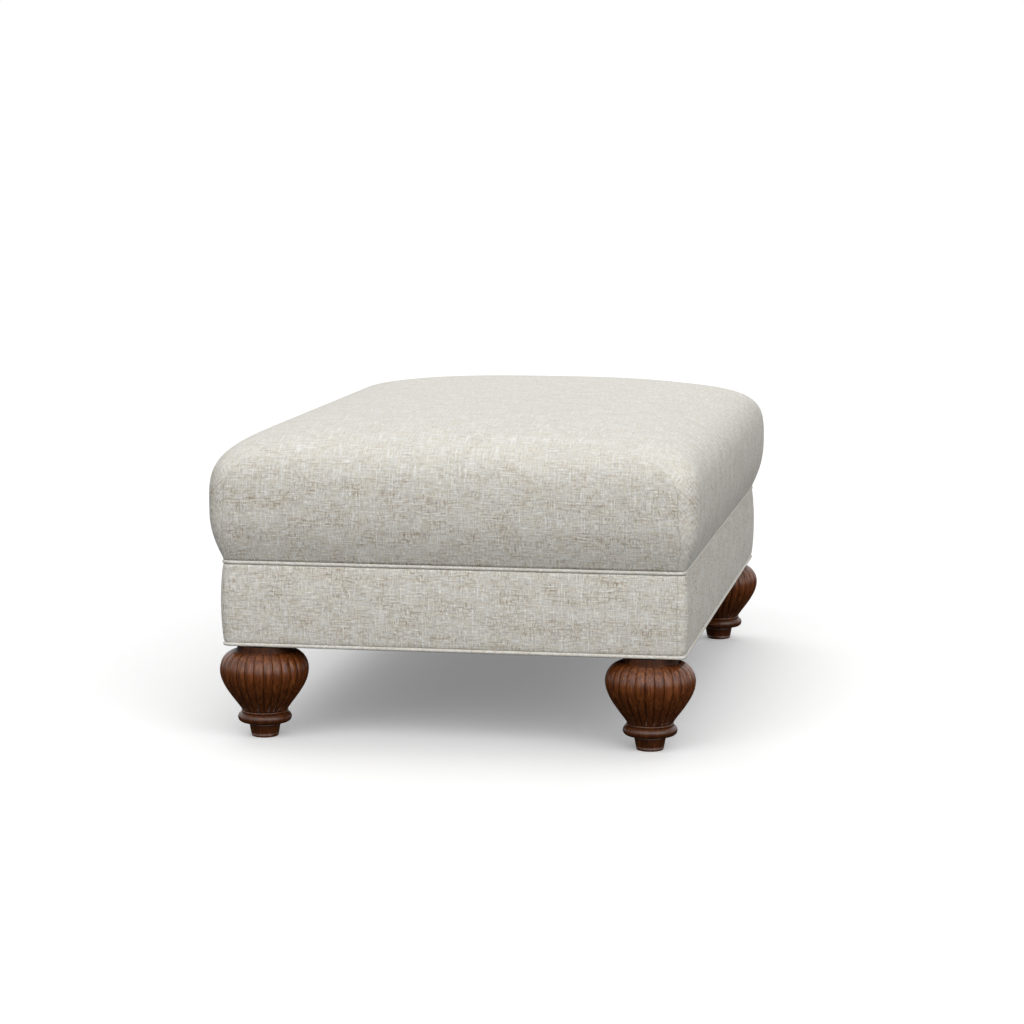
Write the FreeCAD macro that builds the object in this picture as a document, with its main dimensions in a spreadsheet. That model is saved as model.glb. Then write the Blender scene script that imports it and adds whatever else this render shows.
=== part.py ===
import FreeCAD, Part
import math
import os

import Sketcher

# Upholstered footstool: a tight crowned seat on a straight fabric band, piped
# with two welts and carried by four reeded bun feet. Millimetres, +Z up. The
# origin is on the floor under the middle of the stool, the long side runs along
# Y, and the short side at -Y is the front.

SIZES = {
    # Fabric band, over the cloth and from welt to welt
    "band_width": 625,
    "band_length": 930.5,
    "band_height": 111.7,
    "band_corner_radius": 10,
    # Layers that cover the frame
    "cover_thickness": 1.2,
    "band_wadding_thickness": 3,
    "cloth_gap": 0.3,
    "welt_diameter": 5,
    "welt_cord_diameter": 3,
    "welt_sleeve_bore": 3.4,
    "welt_proud": 1.2,
    "welt_lip_height": 14,
    "welt_lip_thickness": 1.2,
    "dust_cover_thickness": 0.5,
    "dust_cover_inset": 4,
    # Crowned seat
    "seat_bulge": 17,
    "seat_bulge_height": 68.5,
    "seat_crown_height": 117.5,
    "seat_crown_reach": 280,
    "seat_corner_radius": 26,
    "seat_top_corner_radius": 150,
    "fibre_wrap_thickness": 12,
    # Frame of boards
    "rail_thickness": 18,
    "cross_rail_height": 70,
    "block_side": 70,
    "block_height": 45,
    "block_corner_cut": 40,
    "dowel_diameter": 8,
    "dowel_length": 42,
    "dowel_depth_in_rail": 12,
    "dowel_edge_distance": 26,
    # Screws that hold the corner blocks
    "screw_diameter": 4,
    "screw_length": 45,
    "screw_head_diameter": 8,
    "screw_head_depth": 3,
    "screw_row_height": 15,
    "screw_offset": 50,
    # Seat springs and what holds them
    "spring_count": 6,
    "spring_spacing": 132,
    "spring_wire": 3.6,
    "spring_bend_pitch": 30,
    "spring_straight": 24,
    "clip_thickness": 1.6,
    "clip_width": 20,
    "clip_slack": 0.2,
    "clip_overhang": 4,
    "clip_end_margin": 3,
    "nail_diameter": 2,
    "nail_length": 18,
    "nail_head_diameter": 5,
    "nail_head_thickness": 1,
    "insulator_thickness": 1,
    "insulator_margin": 10,
    # Reeded bun foot, turned and then carved
    "foot_height": 127,
    "foot_inset_side": 49.2,
    "foot_inset_end": 33.4,
    "toe_bottom_radius": 18.4,
    "toe_top_radius": 21.8,
    "toe_height": 20,
    "toe_edge_radius": 2,
    "ring_radius": 36.5,
    "ring_height": 13.4,
    "ring_bead_height": 3.2,
    "ring_bead_rise": 1.2,
    "waist_radius": 30.6,
    "bulb_radius": 60.3,
    "bulb_shoulder_height": 26,
    "neck_radius": 36.5,
    "neck_height": 8.5,
    "bulb_end_step": 0.8,
    "reed_count": 28,
    "reed_depth": 2.4,
    # Hanger bolt and its tee nut
    "bolt_diameter": 8,
    "bolt_depth_in_foot": 45,
    "bolt_hole_slack": 1,
    "tee_nut_flange_diameter": 19,
    "tee_nut_flange_thickness": 1.5,
    "tee_nut_barrel_diameter": 10,
    "tee_nut_barrel_length": 11,
    # Staples that hold the dust cover
    "staple_crown": 10,
    "staple_leg": 9,
    "staple_wire": 0.8,
    "end_staple_count": 5,
    "side_staple_count": 9,
}

FITS = {
    "frame_base": "sizes.foot_height + sizes.dust_cover_thickness",
    "bottom_welt_z": "frame_base + sizes.welt_diameter / 2",
    "top_welt_z": "bottom_welt_z + sizes.band_height",
    "seat_base": "top_welt_z + sizes.welt_diameter / 2 + sizes.cloth_gap",
    "layers": "sizes.cover_thickness + sizes.band_wadding_thickness + 2 * sizes.cloth_gap",
    "frame_x": "sizes.band_width / 2 - layers",
    "frame_y": "sizes.band_length / 2 - layers",
    "frame_corner": "sizes.band_corner_radius - layers",
    "inner_x": "frame_x - sizes.rail_thickness",
    "inner_y": "frame_y - sizes.rail_thickness",
    "clip_wire_height": "sizes.clip_thickness + sizes.clip_slack + sizes.spring_wire / 2",
    "clip_height": "clip_wire_height + sizes.spring_wire / 2 + sizes.clip_slack + sizes.clip_thickness",
    "insulator_z": "seat_base - sizes.insulator_thickness",
    "frame_top": "insulator_z - sizes.cloth_gap - clip_height",
    "rail_height": "frame_top - frame_base",
    "foot_x": "sizes.band_width / 2 - sizes.foot_inset_side",
    "foot_y": "sizes.band_length / 2 - sizes.foot_inset_end",
    "block_top": "frame_base + sizes.block_height",
    "neck_base": "sizes.foot_height - sizes.neck_height",
    "bulb_centre": "neck_base - sizes.bulb_shoulder_height",
}

ENDS = {"front": -1, "rear": 1}
SIDES = {"left": -1, "right": 1}

doc = FreeCAD.newDocument("footstool")


def fill_sheet(name, cells):
    """Write one alias and its value or formula to each row."""
    sheet = doc.addObject("Spreadsheet::Sheet", name)
    for row, (alias, content) in enumerate(cells.items(), start=1):
        sheet.set(f"A{row}", alias)
        sheet.set(f"B{row}", str(content))
        sheet.setAlias(f"B{row}", alias)
    return sheet


sizes = fill_sheet("sizes", SIZES)
fits = fill_sheet("fits", {alias: "=" + formula for alias, formula in FITS.items()})
doc.recompute()


def bind(item, **expressions):
    """Tie properties to the sheet. Two underscores stand for a dot."""
    for path, expression in expressions.items():
        item.setExpression(path.replace("__", "."), expression)


def place(item, x="0", y="0", z="0"):
    bind(item, Placement__Base__x=x, Placement__Base__y=y, Placement__Base__z=z)


def times(sign, expression):
    """The expression mirrored to one side of the stool."""
    return f"{sign} * ({expression})"


def number(expression):
    return sizes.evalExpression(expression)


def block(name, low, size):
    """A board or strip, from its lowest corner."""
    box = doc.addObject("Part::Box", name)
    bind(box, Length=size[0], Width=size[1], Height=size[2])
    place(box, *low)
    return box


AXES = {"x": FreeCAD.Vector(1, 0, 0), "y": FreeCAD.Vector(0, 1, 0), "z": FreeCAD.Vector(0, 0, 1)}


def turn_to(item, axis, sign):
    """Point an upright round piece along an axis."""
    rotation = FreeCAD.Rotation(AXES["z"], AXES[axis] * sign)
    item.Placement = FreeCAD.Placement(FreeCAD.Vector(), rotation)


def rod(name, start, diameter, length, axis="z", sign=1):
    cylinder = doc.addObject("Part::Cylinder", name)
    turn_to(cylinder, axis, sign)
    bind(cylinder, Radius=f"({diameter}) / 2", Height=length)
    place(cylinder, *start)
    return cylinder


def taper(name, start, first_diameter, last_diameter, length, axis="z", sign=1):
    cone = doc.addObject("Part::Cone", name)
    turn_to(cone, axis, sign)
    bind(cone, Radius1=f"({first_diameter}) / 2", Radius2=f"({last_diameter}) / 2", Height=length)
    place(cone, *start)
    return cone


def fuse(name, items):
    joined = doc.addObject("Part::MultiFuse", name)
    joined.Shapes = items
    return joined


def group(name, items):
    """Like pieces that share one node as separate solids."""
    compound = doc.addObject("Part::Compound", name)
    compound.Links = items
    return compound


def cut(name, base, tool):
    result = doc.addObject("Part::Cut", name)
    result.Base = base
    result.Tool = tool
    return result


def shaped(name, shape):
    """A piece whose form has no primitive or sketch of its own."""
    feature = doc.addObject("Part::Feature", name)
    feature.Shape = shape
    return feature


def plan_sketch(body, name, corners):
    """A closed outline in plan, each corner tied to the sheet."""
    plane = next(item for item in body.Origin.OriginFeatures if item.Role == "XY_Plane")
    sketch = body.newObject("Sketcher::SketchObject", name)
    sketch.AttachmentSupport = [(plane, "")]
    sketch.MapMode = "FlatFace"
    points = [FreeCAD.Vector(number(x), number(y), 0) for x, y in corners]
    for start, end in zip(points, points[1:] + points[:1]):
        sketch.addGeometry(Part.LineSegment(start, end), False)
    count = len(corners)
    for index in range(count):
        sketch.addConstraint(Sketcher.Constraint("Coincident", index, 2, (index + 1) % count, 1))
    for index, (x, y) in enumerate(corners):
        for kind, expression in (("DistanceX", x), ("DistanceY", y)):
            value = number(expression)
            place_of = sketch.addConstraint(Sketcher.Constraint(kind, -1, 1, index, 1, value))
            sketch.setExpression(f"Constraints[{place_of}]", expression)
    return sketch


def padded_plan(name, corners, height, base):
    """A board with a plan outline of its own, padded up from its base."""
    body = doc.addObject("PartDesign::Body", name)
    outline = plan_sketch(body, name + "_plan", corners)
    pad = body.newObject("PartDesign::Pad", name + "_pad")
    pad.Profile = outline
    bind(pad, Length=height)
    outline.Visibility = False
    place(body, z=base)
    return body


# Fasteners, made first so that the wood can be bored by them


def hanger_bolts():
    """Threaded studs: the lower half bites in the foot, the upper one in a tee nut."""
    stud_top = "fits.block_top + sizes.tee_nut_flange_thickness"
    length = f"{stud_top} - sizes.foot_height + sizes.bolt_depth_in_foot"
    bolts = []
    for end, along in ENDS.items():
        for side, across in SIDES.items():
            start = (times(across, "fits.foot_x"), times(along, "fits.foot_y"),
                     "sizes.foot_height - sizes.bolt_depth_in_foot")
            bolts.append(rod(f"bolt_{end}_{side}", start, "sizes.bolt_diameter", length))
    return group("hanger_bolts", bolts)


def tee_nuts(bolts):
    """Flanged nuts let into the top of the corner blocks, bored by the bolts."""
    nuts = []
    for end, along in ENDS.items():
        for side, across in SIDES.items():
            name = f"tee_nut_{end}_{side}"
            x, y = times(across, "fits.foot_x"), times(along, "fits.foot_y")
            flange = rod(name + "_flange", (x, y, "fits.block_top"),
                         "sizes.tee_nut_flange_diameter", "sizes.tee_nut_flange_thickness")
            barrel = rod(name + "_barrel", (x, y, "fits.block_top - sizes.tee_nut_barrel_length"),
                         "sizes.tee_nut_barrel_diameter", "sizes.tee_nut_barrel_length")
            nuts.append(fuse(name, [flange, barrel]))
    return cut("tee_nuts", group("tee_nut_blanks", nuts), bolts)


def rail_dowels():
    """Beech dowels that join the end rails and the cross rail to the side rails."""
    end_rail_y = "fits.frame_y - sizes.rail_thickness / 2"
    rows = {
        "front": (times(-1, end_rail_y), "fits.rail_height"),
        "rear": (end_rail_y, "fits.rail_height"),
        "middle": ("0", "sizes.cross_rail_height"),
    }
    dowels = []
    for row, (y, height) in rows.items():
        levels = {"low": "sizes.dowel_edge_distance", "high": f"{height} - sizes.dowel_edge_distance"}
        for level, rise in levels.items():
            for side, across in SIDES.items():
                start = (times(across, "fits.inner_x + sizes.dowel_depth_in_rail"), y,
                         f"fits.frame_base + {rise}")
                dowels.append(rod(f"dowel_{row}_{level}_{side}", start, "sizes.dowel_diameter",
                                  "sizes.dowel_length", "x", -across))
    return group("rail_dowels", dowels)


def wood_screw(name, start, axis, sign):
    """A countersunk screw driven in from the outer face of a rail."""
    shank = rod(name + "_shank", start, "sizes.screw_diameter", "sizes.screw_length", axis, sign)
    head = taper(name + "_head", start, "sizes.screw_head_diameter", "sizes.screw_diameter",
                 "sizes.screw_head_depth", axis, sign)
    return fuse(name, [shank, head])


def block_screws():
    """Two screws through each rail into each corner block."""
    screws = []
    for end, along in ENDS.items():
        for side, across in SIDES.items():
            for row in (1, 2):
                z = f"fits.frame_base + {row} * sizes.screw_row_height"
                through_side = (times(across, "fits.frame_x"),
                                times(along, "fits.inner_y - sizes.screw_offset"), z)
                through_end = (times(across, "fits.inner_x - sizes.screw_offset"),
                               times(along, "fits.frame_y"), z)
                name = f"screw_{end}_{side}_{row}"
                screws.append(wood_screw(name + "_side", through_side, "x", -across))
                screws.append(wood_screw(name + "_end", through_end, "y", -along))
    return group("block_screws", screws)


def staple(name, x, y, along_x):
    """A wire staple, its crown under the dust cover and its legs up in the rail."""
    crown_z = "sizes.foot_height - sizes.staple_wire"
    leg_length = "sizes.staple_leg + sizes.staple_wire"
    span, wire = "sizes.staple_crown", "sizes.staple_wire"
    if along_x:
        low = (f"{x} - {span} / 2", f"{y} - {wire} / 2", crown_z)
        far = (f"{x} + {span} / 2 - {wire}", low[1], crown_z)
        crown_size = (span, wire, wire)
    else:
        low = (f"{x} - {wire} / 2", f"{y} - {span} / 2", crown_z)
        far = (low[0], f"{y} + {span} / 2 - {wire}", crown_z)
        crown_size = (wire, span, wire)
    crown = block(name + "_crown", low, crown_size)
    legs = [block(f"{name}_leg_{count}", corner, (wire, wire, leg_length))
            for count, corner in enumerate((low, far))]
    return fuse(name, [crown] + legs)


def dust_cover_staples():
    """Rows of staples along the underside of the four rails, between the feet."""
    staples = []
    room = "sizes.neck_radius - sizes.staple_crown"
    for end, along in ENDS.items():
        count = int(number("sizes.end_staple_count"))
        y = times(along, "fits.frame_y - sizes.rail_thickness / 2")
        for index in range(count):
            share = 2 * index / (count - 1) - 1
            x = times(share, f"fits.foot_x - {room}")
            staples.append(staple(f"staple_{end}_{index}", x, y, True))
    for side, across in SIDES.items():
        count = int(number("sizes.side_staple_count"))
        x = times(across, "fits.frame_x - sizes.rail_thickness / 2")
        for index in range(count):
            share = 2 * index / (count - 1) - 1
            y = times(share, f"fits.foot_y - {room}")
            staples.append(staple(f"staple_{side}_{index}", x, y, False))
    return group("dust_cover_staples", staples)


def spring_rows():
    """Where each seat spring crosses the stool, as expressions along Y."""
    count = int(number("sizes.spring_count"))
    return [f"{index - (count - 1) / 2} * sizes.spring_spacing" for index in range(count)]


def clip_nails():
    """Two clout nails through each spring clip into the top of the side rail."""
    nails = []
    plate_top = "fits.frame_top + sizes.clip_thickness"
    for row, y in enumerate(spring_rows()):
        for side, across in SIDES.items():
            x = times(across, "fits.inner_x + sizes.rail_thickness / 2")
            for step in (-1, 1):
                name = f"nail_{side}_{row}_{'near' if step < 0 else 'far'}"
                nail_y = f"{y} + {step} * sizes.clip_width / 4"
                shank = rod(name + "_shank", (x, nail_y, f"{plate_top} - sizes.nail_length"),
                            "sizes.nail_diameter", "sizes.nail_length")
                head = rod(name + "_head", (x, nail_y, plate_top),
                           "sizes.nail_head_diameter", "sizes.nail_head_thickness")
                nails.append(fuse(name, [shank, head]))
    return group("clip_nails", nails)


# Frame of boards


def side_rail(side, across, fasteners):
    """A full-length rail whose outer corners are eased to suit the band's corners."""
    outer, inner = times(across, "fits.frame_x"), times(across, "fits.inner_x")
    eased = times(across, "fits.frame_x - fits.frame_corner")
    end, shoulder = "fits.frame_y", "fits.frame_y - fits.frame_corner"
    corners = [(inner, f"-({end})"), (eased, f"-({end})"), (outer, f"-({shoulder})"),
               (outer, shoulder), (eased, end), (inner, end)]
    blank = padded_plan(f"{side}_rail_blank", corners, "fits.rail_height", "fits.frame_base")
    return cut(f"{side}_rail", blank, fasteners)


def end_rail(end, along, fasteners):
    """A short rail between the side rails."""
    low_y = "fits.inner_y" if along > 0 else "-fits.frame_y"
    blank = block(f"{end}_rail_blank", ("-fits.inner_x", low_y, "fits.frame_base"),
                  ("2 * fits.inner_x", "sizes.rail_thickness", "fits.rail_height"))
    return cut(f"{end}_rail", blank, fasteners)


def cross_rail(fasteners):
    """A lower rail across the middle that stops the long sides from bowing."""
    blank = block("centre_cross_rail_blank",
                  ("-fits.inner_x", "-sizes.rail_thickness / 2", "fits.frame_base"),
                  ("2 * fits.inner_x", "sizes.rail_thickness", "sizes.cross_rail_height"))
    return cut("centre_cross_rail", blank, fasteners)


def corner_block(end, along, side, across, nuts, screws):
    """A hardwood block in a corner of the frame that takes the foot's bolt."""
    near_x, near_y = times(across, "fits.inner_x"), times(along, "fits.inner_y")
    far_x = times(across, "fits.inner_x - sizes.block_side")
    far_y = times(along, "fits.inner_y - sizes.block_side")
    cut_x = times(across, "fits.inner_x - sizes.block_side + sizes.block_corner_cut")
    cut_y = times(along, "fits.inner_y - sizes.block_side + sizes.block_corner_cut")
    corners = [(near_x, near_y), (near_x, far_y), (cut_x, far_y), (far_x, cut_y), (far_x, near_y)]
    name = f"corner_block_{end}_{side}"
    blank = padded_plan(name + "_blank", corners, "sizes.block_height", "fits.frame_base")
    bore = rod(name + "_bore",
               (times(across, "fits.foot_x"), times(along, "fits.foot_y"), "fits.frame_base"),
               "sizes.tee_nut_barrel_diameter", "sizes.block_height")
    return cut(name, blank, group(name + "_holes", [bore, nuts, screws]))


# Feet


def ring_of_arcs(z, crest, valley, count):
    """A closed outline of convex lobes that meet in valleys."""
    step = 2 * math.pi / count

    def at(radius, turn):
        return FreeCAD.Vector(radius * math.cos(turn), radius * math.sin(turn), z)

    arcs = [Part.Arc(at(valley, index * step), at(crest, (index + 0.5) * step),
                     at(valley, (index + 1) * step)).toShape() for index in range(count)]
    return Part.Wire(arcs)


def bulb_radius_at(z, waist_z):
    """Outline of the bulb: a swell up to its widest ring, then a quarter ellipse to the neck."""
    swell_power = 1.1
    widest = sizes.bulb_radius
    centre = number("fits.bulb_centre")
    if z < centre:
        swell = math.sin(math.pi / 2 * ((z - waist_z) / (centre - waist_z)) ** swell_power)
        return sizes.waist_radius + (widest - sizes.waist_radius) * swell
    rise = (z - centre) / sizes.bulb_shoulder_height
    top = sizes.neck_radius + sizes.bulb_end_step
    return top + (widest - top) * math.sqrt(max(0, 1 - rise * rise))


def reeded_bulb(waist_z, shoulder_z):
    """The carved part: reeds that are deepest on the bulb and fade out at both ends."""
    section_count = 15
    fade_power = 0.7
    sections = []
    for index in range(section_count):
        share = 0.5 - 0.5 * math.cos(math.pi * index / (section_count - 1))
        z = waist_z + share * (shoulder_z - waist_z)
        crest = bulb_radius_at(z, waist_z)
        depth = sizes.reed_depth * math.sin(math.pi * share) ** fade_power if 0 < share < 1 else 0
        sections.append(ring_of_arcs(z, crest, crest - depth, int(sizes.reed_count)))
    return Part.makeLoft(sections, True, False)


def turned(edges):
    """Spin a half outline about the foot's own axis."""
    face = Part.Face(Part.Wire(edges))
    return face.revolve(FreeCAD.Vector(), AXES["z"], 360)


def half_outline_point(radius, z):
    return FreeCAD.Vector(radius, 0, z)


def turned_core(waist_z):
    """Toe, half-round ring, fine bead and neck, on a core that runs up inside the bulb."""
    at = half_outline_point
    touching = 1e-6
    edge = sizes.toe_edge_radius
    turned_in = edge * (1 - math.cos(math.pi / 4))
    ring_top = sizes.toe_height + sizes.ring_height
    ring_middle = sizes.toe_height + sizes.ring_height / 2
    ring_root = sizes.ring_radius - sizes.ring_height / 2
    bead_middle = ring_top + sizes.ring_bead_height / 2
    core_radius = sizes.waist_radius - sizes.bulb_end_step
    neck_start = number("fits.bulb_centre")
    axis_bottom, axis_top = at(0, 0), at(0, sizes.foot_height)
    toe_bottom, toe_side = at(sizes.toe_bottom_radius - edge, 0), at(sizes.toe_bottom_radius, edge)
    toe_turn = at(sizes.toe_bottom_radius - turned_in, turned_in)
    toe_top, ring_bottom = at(sizes.toe_top_radius, sizes.toe_height), at(ring_root, sizes.toe_height)
    ring_edge, ring_upper = at(sizes.ring_radius, ring_middle), at(ring_root, ring_top)
    bead_bottom, bead_top = at(core_radius, ring_top), at(core_radius, waist_z)
    bead_edge = at(sizes.waist_radius + sizes.ring_bead_rise, bead_middle)
    corners = [bead_top, at(core_radius, neck_start), at(sizes.neck_radius, neck_start),
               at(sizes.neck_radius, sizes.foot_height), axis_top, axis_bottom]
    edges = [
        Part.LineSegment(axis_bottom, toe_bottom).toShape(),
        Part.Arc(toe_bottom, toe_turn, toe_side).toShape(),
        Part.LineSegment(toe_side, toe_top).toShape(),
        Part.LineSegment(toe_top, ring_bottom).toShape(),
        Part.Arc(ring_bottom, ring_edge, ring_upper).toShape(),
    ]
    if not ring_upper.isEqual(bead_bottom, touching):
        edges.append(Part.LineSegment(ring_upper, bead_bottom).toShape())
    edges.append(Part.Arc(bead_bottom, bead_edge, bead_top).toShape())
    edges += [Part.LineSegment(*pair).toShape() for pair in zip(corners, corners[1:])]
    return turned(edges)


def foot_shape():
    """One whole foot, standing at its own axis, with the blind hole for its bolt."""
    waist_z = sizes.toe_height + sizes.ring_height + sizes.ring_bead_height
    hole = Part.makeCylinder(sizes.bolt_diameter / 2, sizes.bolt_depth_in_foot,
                             FreeCAD.Vector(0, 0, sizes.foot_height - sizes.bolt_depth_in_foot))
    solid = turned_core(waist_z).fuse(reeded_bulb(waist_z, number("fits.neck_base")))
    return solid.cut(hole).Solids[0]


def feet():
    shape = foot_shape()
    for end, along in ENDS.items():
        for side, across in SIDES.items():
            foot = shaped(f"foot_{end}_{side}", shape)
            place(foot, times(across, "fits.foot_x"), times(along, "fits.foot_y"))
            yield foot


# Seat springs


def spring_shape(y):
    """One zigzag spring: straight runs across its width joined by half circles."""
    z = number("fits.frame_top + fits.clip_wire_height")
    reach = number("fits.inner_x - sizes.clip_overhang")
    bends = round(2 * reach / sizes.spring_bend_pitch)
    pitch = 2 * reach / bends
    half = sizes.spring_straight / 2
    edges = []
    for index in range(bends + 1):
        x = index * pitch - reach
        way = 1 if index % 2 == 0 else -1
        start, end = FreeCAD.Vector(x, y - way * half, z), FreeCAD.Vector(x, y + way * half, z)
        edges.append(Part.LineSegment(start, end).toShape())
        if index < bends:
            crown = FreeCAD.Vector(x + pitch / 2, y + way * (half + pitch / 2), z)
            next_start = FreeCAD.Vector(x + pitch, y + way * half, z)
            edges.append(Part.Arc(end, crown, next_start).toShape())
    wire_end = FreeCAD.Vector(-reach, y - half, z)
    section = Part.Wire(Part.makeCircle(sizes.spring_wire / 2, wire_end, AXES["y"]))
    return Part.Wire(edges).makePipeShell([section], True, False)


def clip_shape(y, across):
    """A steel plate on the rail whose end curls over the spring's last run."""
    reach = number("fits.inner_x - sizes.clip_overhang")
    plate_end = number("fits.frame_x") - sizes.clip_end_margin
    base = number("fits.frame_top")
    wire_z = number("fits.frame_top + fits.clip_wire_height")
    low_y = y - sizes.clip_width / 2
    bore = sizes.spring_wire / 2 + sizes.clip_slack
    corner = FreeCAD.Vector(reach, low_y, base)
    plate = Part.makeBox(plate_end - reach, sizes.clip_width, sizes.clip_thickness, corner)
    eye = FreeCAD.Vector(reach, low_y, wire_z)
    curl = Part.makeCylinder(bore + sizes.clip_thickness, sizes.clip_width, eye, AXES["y"])
    curl = curl.cut(Part.makeCylinder(bore, sizes.clip_width, eye, AXES["y"]))
    outer = 2 * (bore + sizes.clip_thickness)
    half_room = Part.makeBox(outer, sizes.clip_width, outer, FreeCAD.Vector(reach - outer, low_y, base))
    clip = plate.fuse(curl.common(half_room)).removeSplitter()
    if across < 0:
        clip = clip.mirror(FreeCAD.Vector(), AXES["x"])
    return clip


def seat_springs(nails):
    rows = [number(y) for y in spring_rows()]
    springs = [spring_shape(y) for y in rows]
    clips = [clip_shape(y, across) for y in rows for across in SIDES.values()]
    clip_blanks = shaped("spring_clip_blanks", Part.makeCompound(clips))
    return [shaped("sinuous_springs", Part.makeCompound(springs)),
            cut("spring_clips", clip_blanks, nails)]


# Soft seat


def rounded_outline(half_x, half_y, radius, z):
    """A rectangle with rounded corners: four lines and four quarter arcs."""
    edges = []
    corner_signs = [(1, 1), (-1, 1), (-1, -1), (1, -1)]
    last = None
    first = None
    for index, (sign_x, sign_y) in enumerate(corner_signs):
        centre = FreeCAD.Vector(sign_x * (half_x - radius), sign_y * (half_y - radius), z)
        turns = [math.pi / 2 * index + math.pi / 4 * step for step in range(3)]
        spokes = [FreeCAD.Vector(radius * math.cos(turn), radius * math.sin(turn), 0) for turn in turns]
        start, middle, end = [centre + spoke for spoke in spokes]
        if last is not None:
            edges.append(Part.LineSegment(last, start).toShape())
        else:
            first = start
        edges.append(Part.Arc(start, middle, end).toShape())
        last = end
    edges.append(Part.LineSegment(last, first).toShape())
    return Part.Wire(edges)


def seat_profile():
    """Side outline of the cover as close (offset past the band, height) pairs, from the seam up.

    The side swells from the seam to its fullest line, then turns in over a soft
    shoulder and flattens into the crown. It starts a little below the seam, so that
    the lines drawn in from it still reach the seat's base.
    """
    step_count = 200
    lower_step_count = 25
    side_power = 1.9
    shoulder_power = 4.33
    crown_power = 2.85
    fullest = number("fits.seat_base") + sizes.seat_bulge_height
    profile = []
    for index in range(-lower_step_count, step_count):
        below = 1 - index / step_count
        offset = sizes.seat_bulge * (1 - below ** side_power)
        profile.append((offset, fullest - below * sizes.seat_bulge_height))
    for index in range(step_count + 1):
        rise = min(math.sin(math.pi / 2 * index / step_count), 1)
        inward = 1 - (1 - rise ** shoulder_power) ** (1 / crown_power)
        profile.append((sizes.seat_bulge - sizes.seat_crown_reach * inward,
                        fullest + sizes.seat_crown_height * rise))
    return profile


def inset_profile(depth):
    """The same outline drawn in by a thickness, square to itself, and cut at the seat's base."""
    outer = seat_profile()
    base = number("fits.seat_base")
    inner = []
    for before, point, after in zip(outer, outer[1:], outer[2:]):
        run, rise = after[0] - before[0], after[1] - before[1]
        length = math.hypot(run, rise)
        inner.append((point[0] - depth * rise / length, point[1] + depth * run / length))
    above = [point for point in inner if point[1] > base]
    below = [point for point in inner if point[1] <= base][-1]
    share = (base - below[1]) / (above[0][1] - below[1])
    seam = (below[0] + share * (above[0][0] - below[0]), base)
    return [seam] + above


def evenly_spaced(points, count):
    """The same line through a given number of points, as far apart along it as each other."""
    travelled = [0]
    for start, end in zip(points, points[1:]):
        travelled.append(travelled[-1] + math.dist(start, end))
    chosen = []
    index = 0
    for step in range(count):
        goal = travelled[-1] * step / (count - 1)
        while index < len(points) - 2 and travelled[index + 1] < goal:
            index += 1
        share = (goal - travelled[index]) / (travelled[index + 1] - travelled[index])
        start, end = points[index], points[index + 1]
        chosen.append(tuple(low + share * (high - low) for low, high in zip(start, end)))
    return chosen


def seat_solid(depth):
    """A crowned solid through rounded outlines, drawn in by a depth from the cover's face."""
    half_x, half_y = sizes.band_width / 2, sizes.band_length / 2
    fullest = number("fits.seat_base") + sizes.seat_bulge_height
    section_count = 26
    least_straight = 20
    sections = []
    for offset, z in evenly_spaced(inset_profile(depth), section_count):
        if z < fullest:
            share = (z - number("fits.seat_base")) / sizes.seat_bulge_height
            radius = sizes.band_corner_radius
            radius += (sizes.seat_corner_radius - sizes.band_corner_radius) * share
        else:
            share = min((sizes.seat_bulge - offset) / (sizes.seat_top_corner_radius / 2), 1)
            radius = sizes.seat_corner_radius
            radius += (sizes.seat_top_corner_radius - sizes.seat_corner_radius) * share
        radius = min(radius, half_x + offset - least_straight)
        sections.append(rounded_outline(half_x + offset, half_y + offset, radius, z))
    return Part.makeLoft(sections, True, False)


def soft_seat():
    """Fabric cover over fibre wadding over a crowned foam block."""
    cover_inside = sizes.cover_thickness
    wrap_outside = cover_inside + sizes.cloth_gap
    wrap_inside = wrap_outside + sizes.fibre_wrap_thickness
    foam_outside = wrap_inside + sizes.cloth_gap
    cover = seat_solid(0).cut(seat_solid(cover_inside))
    wrap = seat_solid(wrap_outside).cut(seat_solid(wrap_inside))
    return [shaped("cushion_cover", cover.Solids[0]),
            shaped("fibre_wrap", wrap.Solids[0]),
            shaped("seat_foam", seat_solid(foam_outside))]


# Band, its wadding and the two welts


def band_ring(inset, thickness, low, high):
    """An upright strip that goes round the stool, set in from the band's face."""

    def outline(depth):
        radius = sizes.band_corner_radius - depth
        return rounded_outline(sizes.band_width / 2 - depth, sizes.band_length / 2 - depth, radius, low)

    face = Part.Face(outline(inset)).cut(Part.Face(outline(inset + thickness)))
    return face.extrude(FreeCAD.Vector(0, 0, high - low)).Solids[0]


def welt_tube(diameter, z):
    """A round section carried once round the stool on the welt's centre line."""
    depth = sizes.welt_diameter / 2 - sizes.welt_proud
    half_x, half_y = sizes.band_width / 2 - depth, sizes.band_length / 2 - depth
    path = rounded_outline(half_x, half_y, sizes.band_corner_radius - depth, z)
    start = path.Edges[0].valueAt(path.Edges[0].FirstParameter)
    section = Part.Wire(Part.makeCircle(diameter / 2, start, AXES["y"]))
    return path.makePipeShell([section], True, False)


def welt(name, z, lip_low, lip_high):
    """Bias-cut fabric sewn round a cord, with the seam allowance that is tacked to the rail."""
    lip_inset = number("fits.layers") - sizes.cloth_gap - sizes.welt_lip_thickness
    lip = band_ring(lip_inset, sizes.welt_lip_thickness, lip_low, lip_high)
    sleeve = welt_tube(sizes.welt_diameter, z).fuse(lip).cut(welt_tube(sizes.welt_sleeve_bore, z))
    return [shaped(name, sleeve.Solids[0]),
            shaped(name + "_cord", welt_tube(sizes.welt_cord_diameter, z))]


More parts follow.
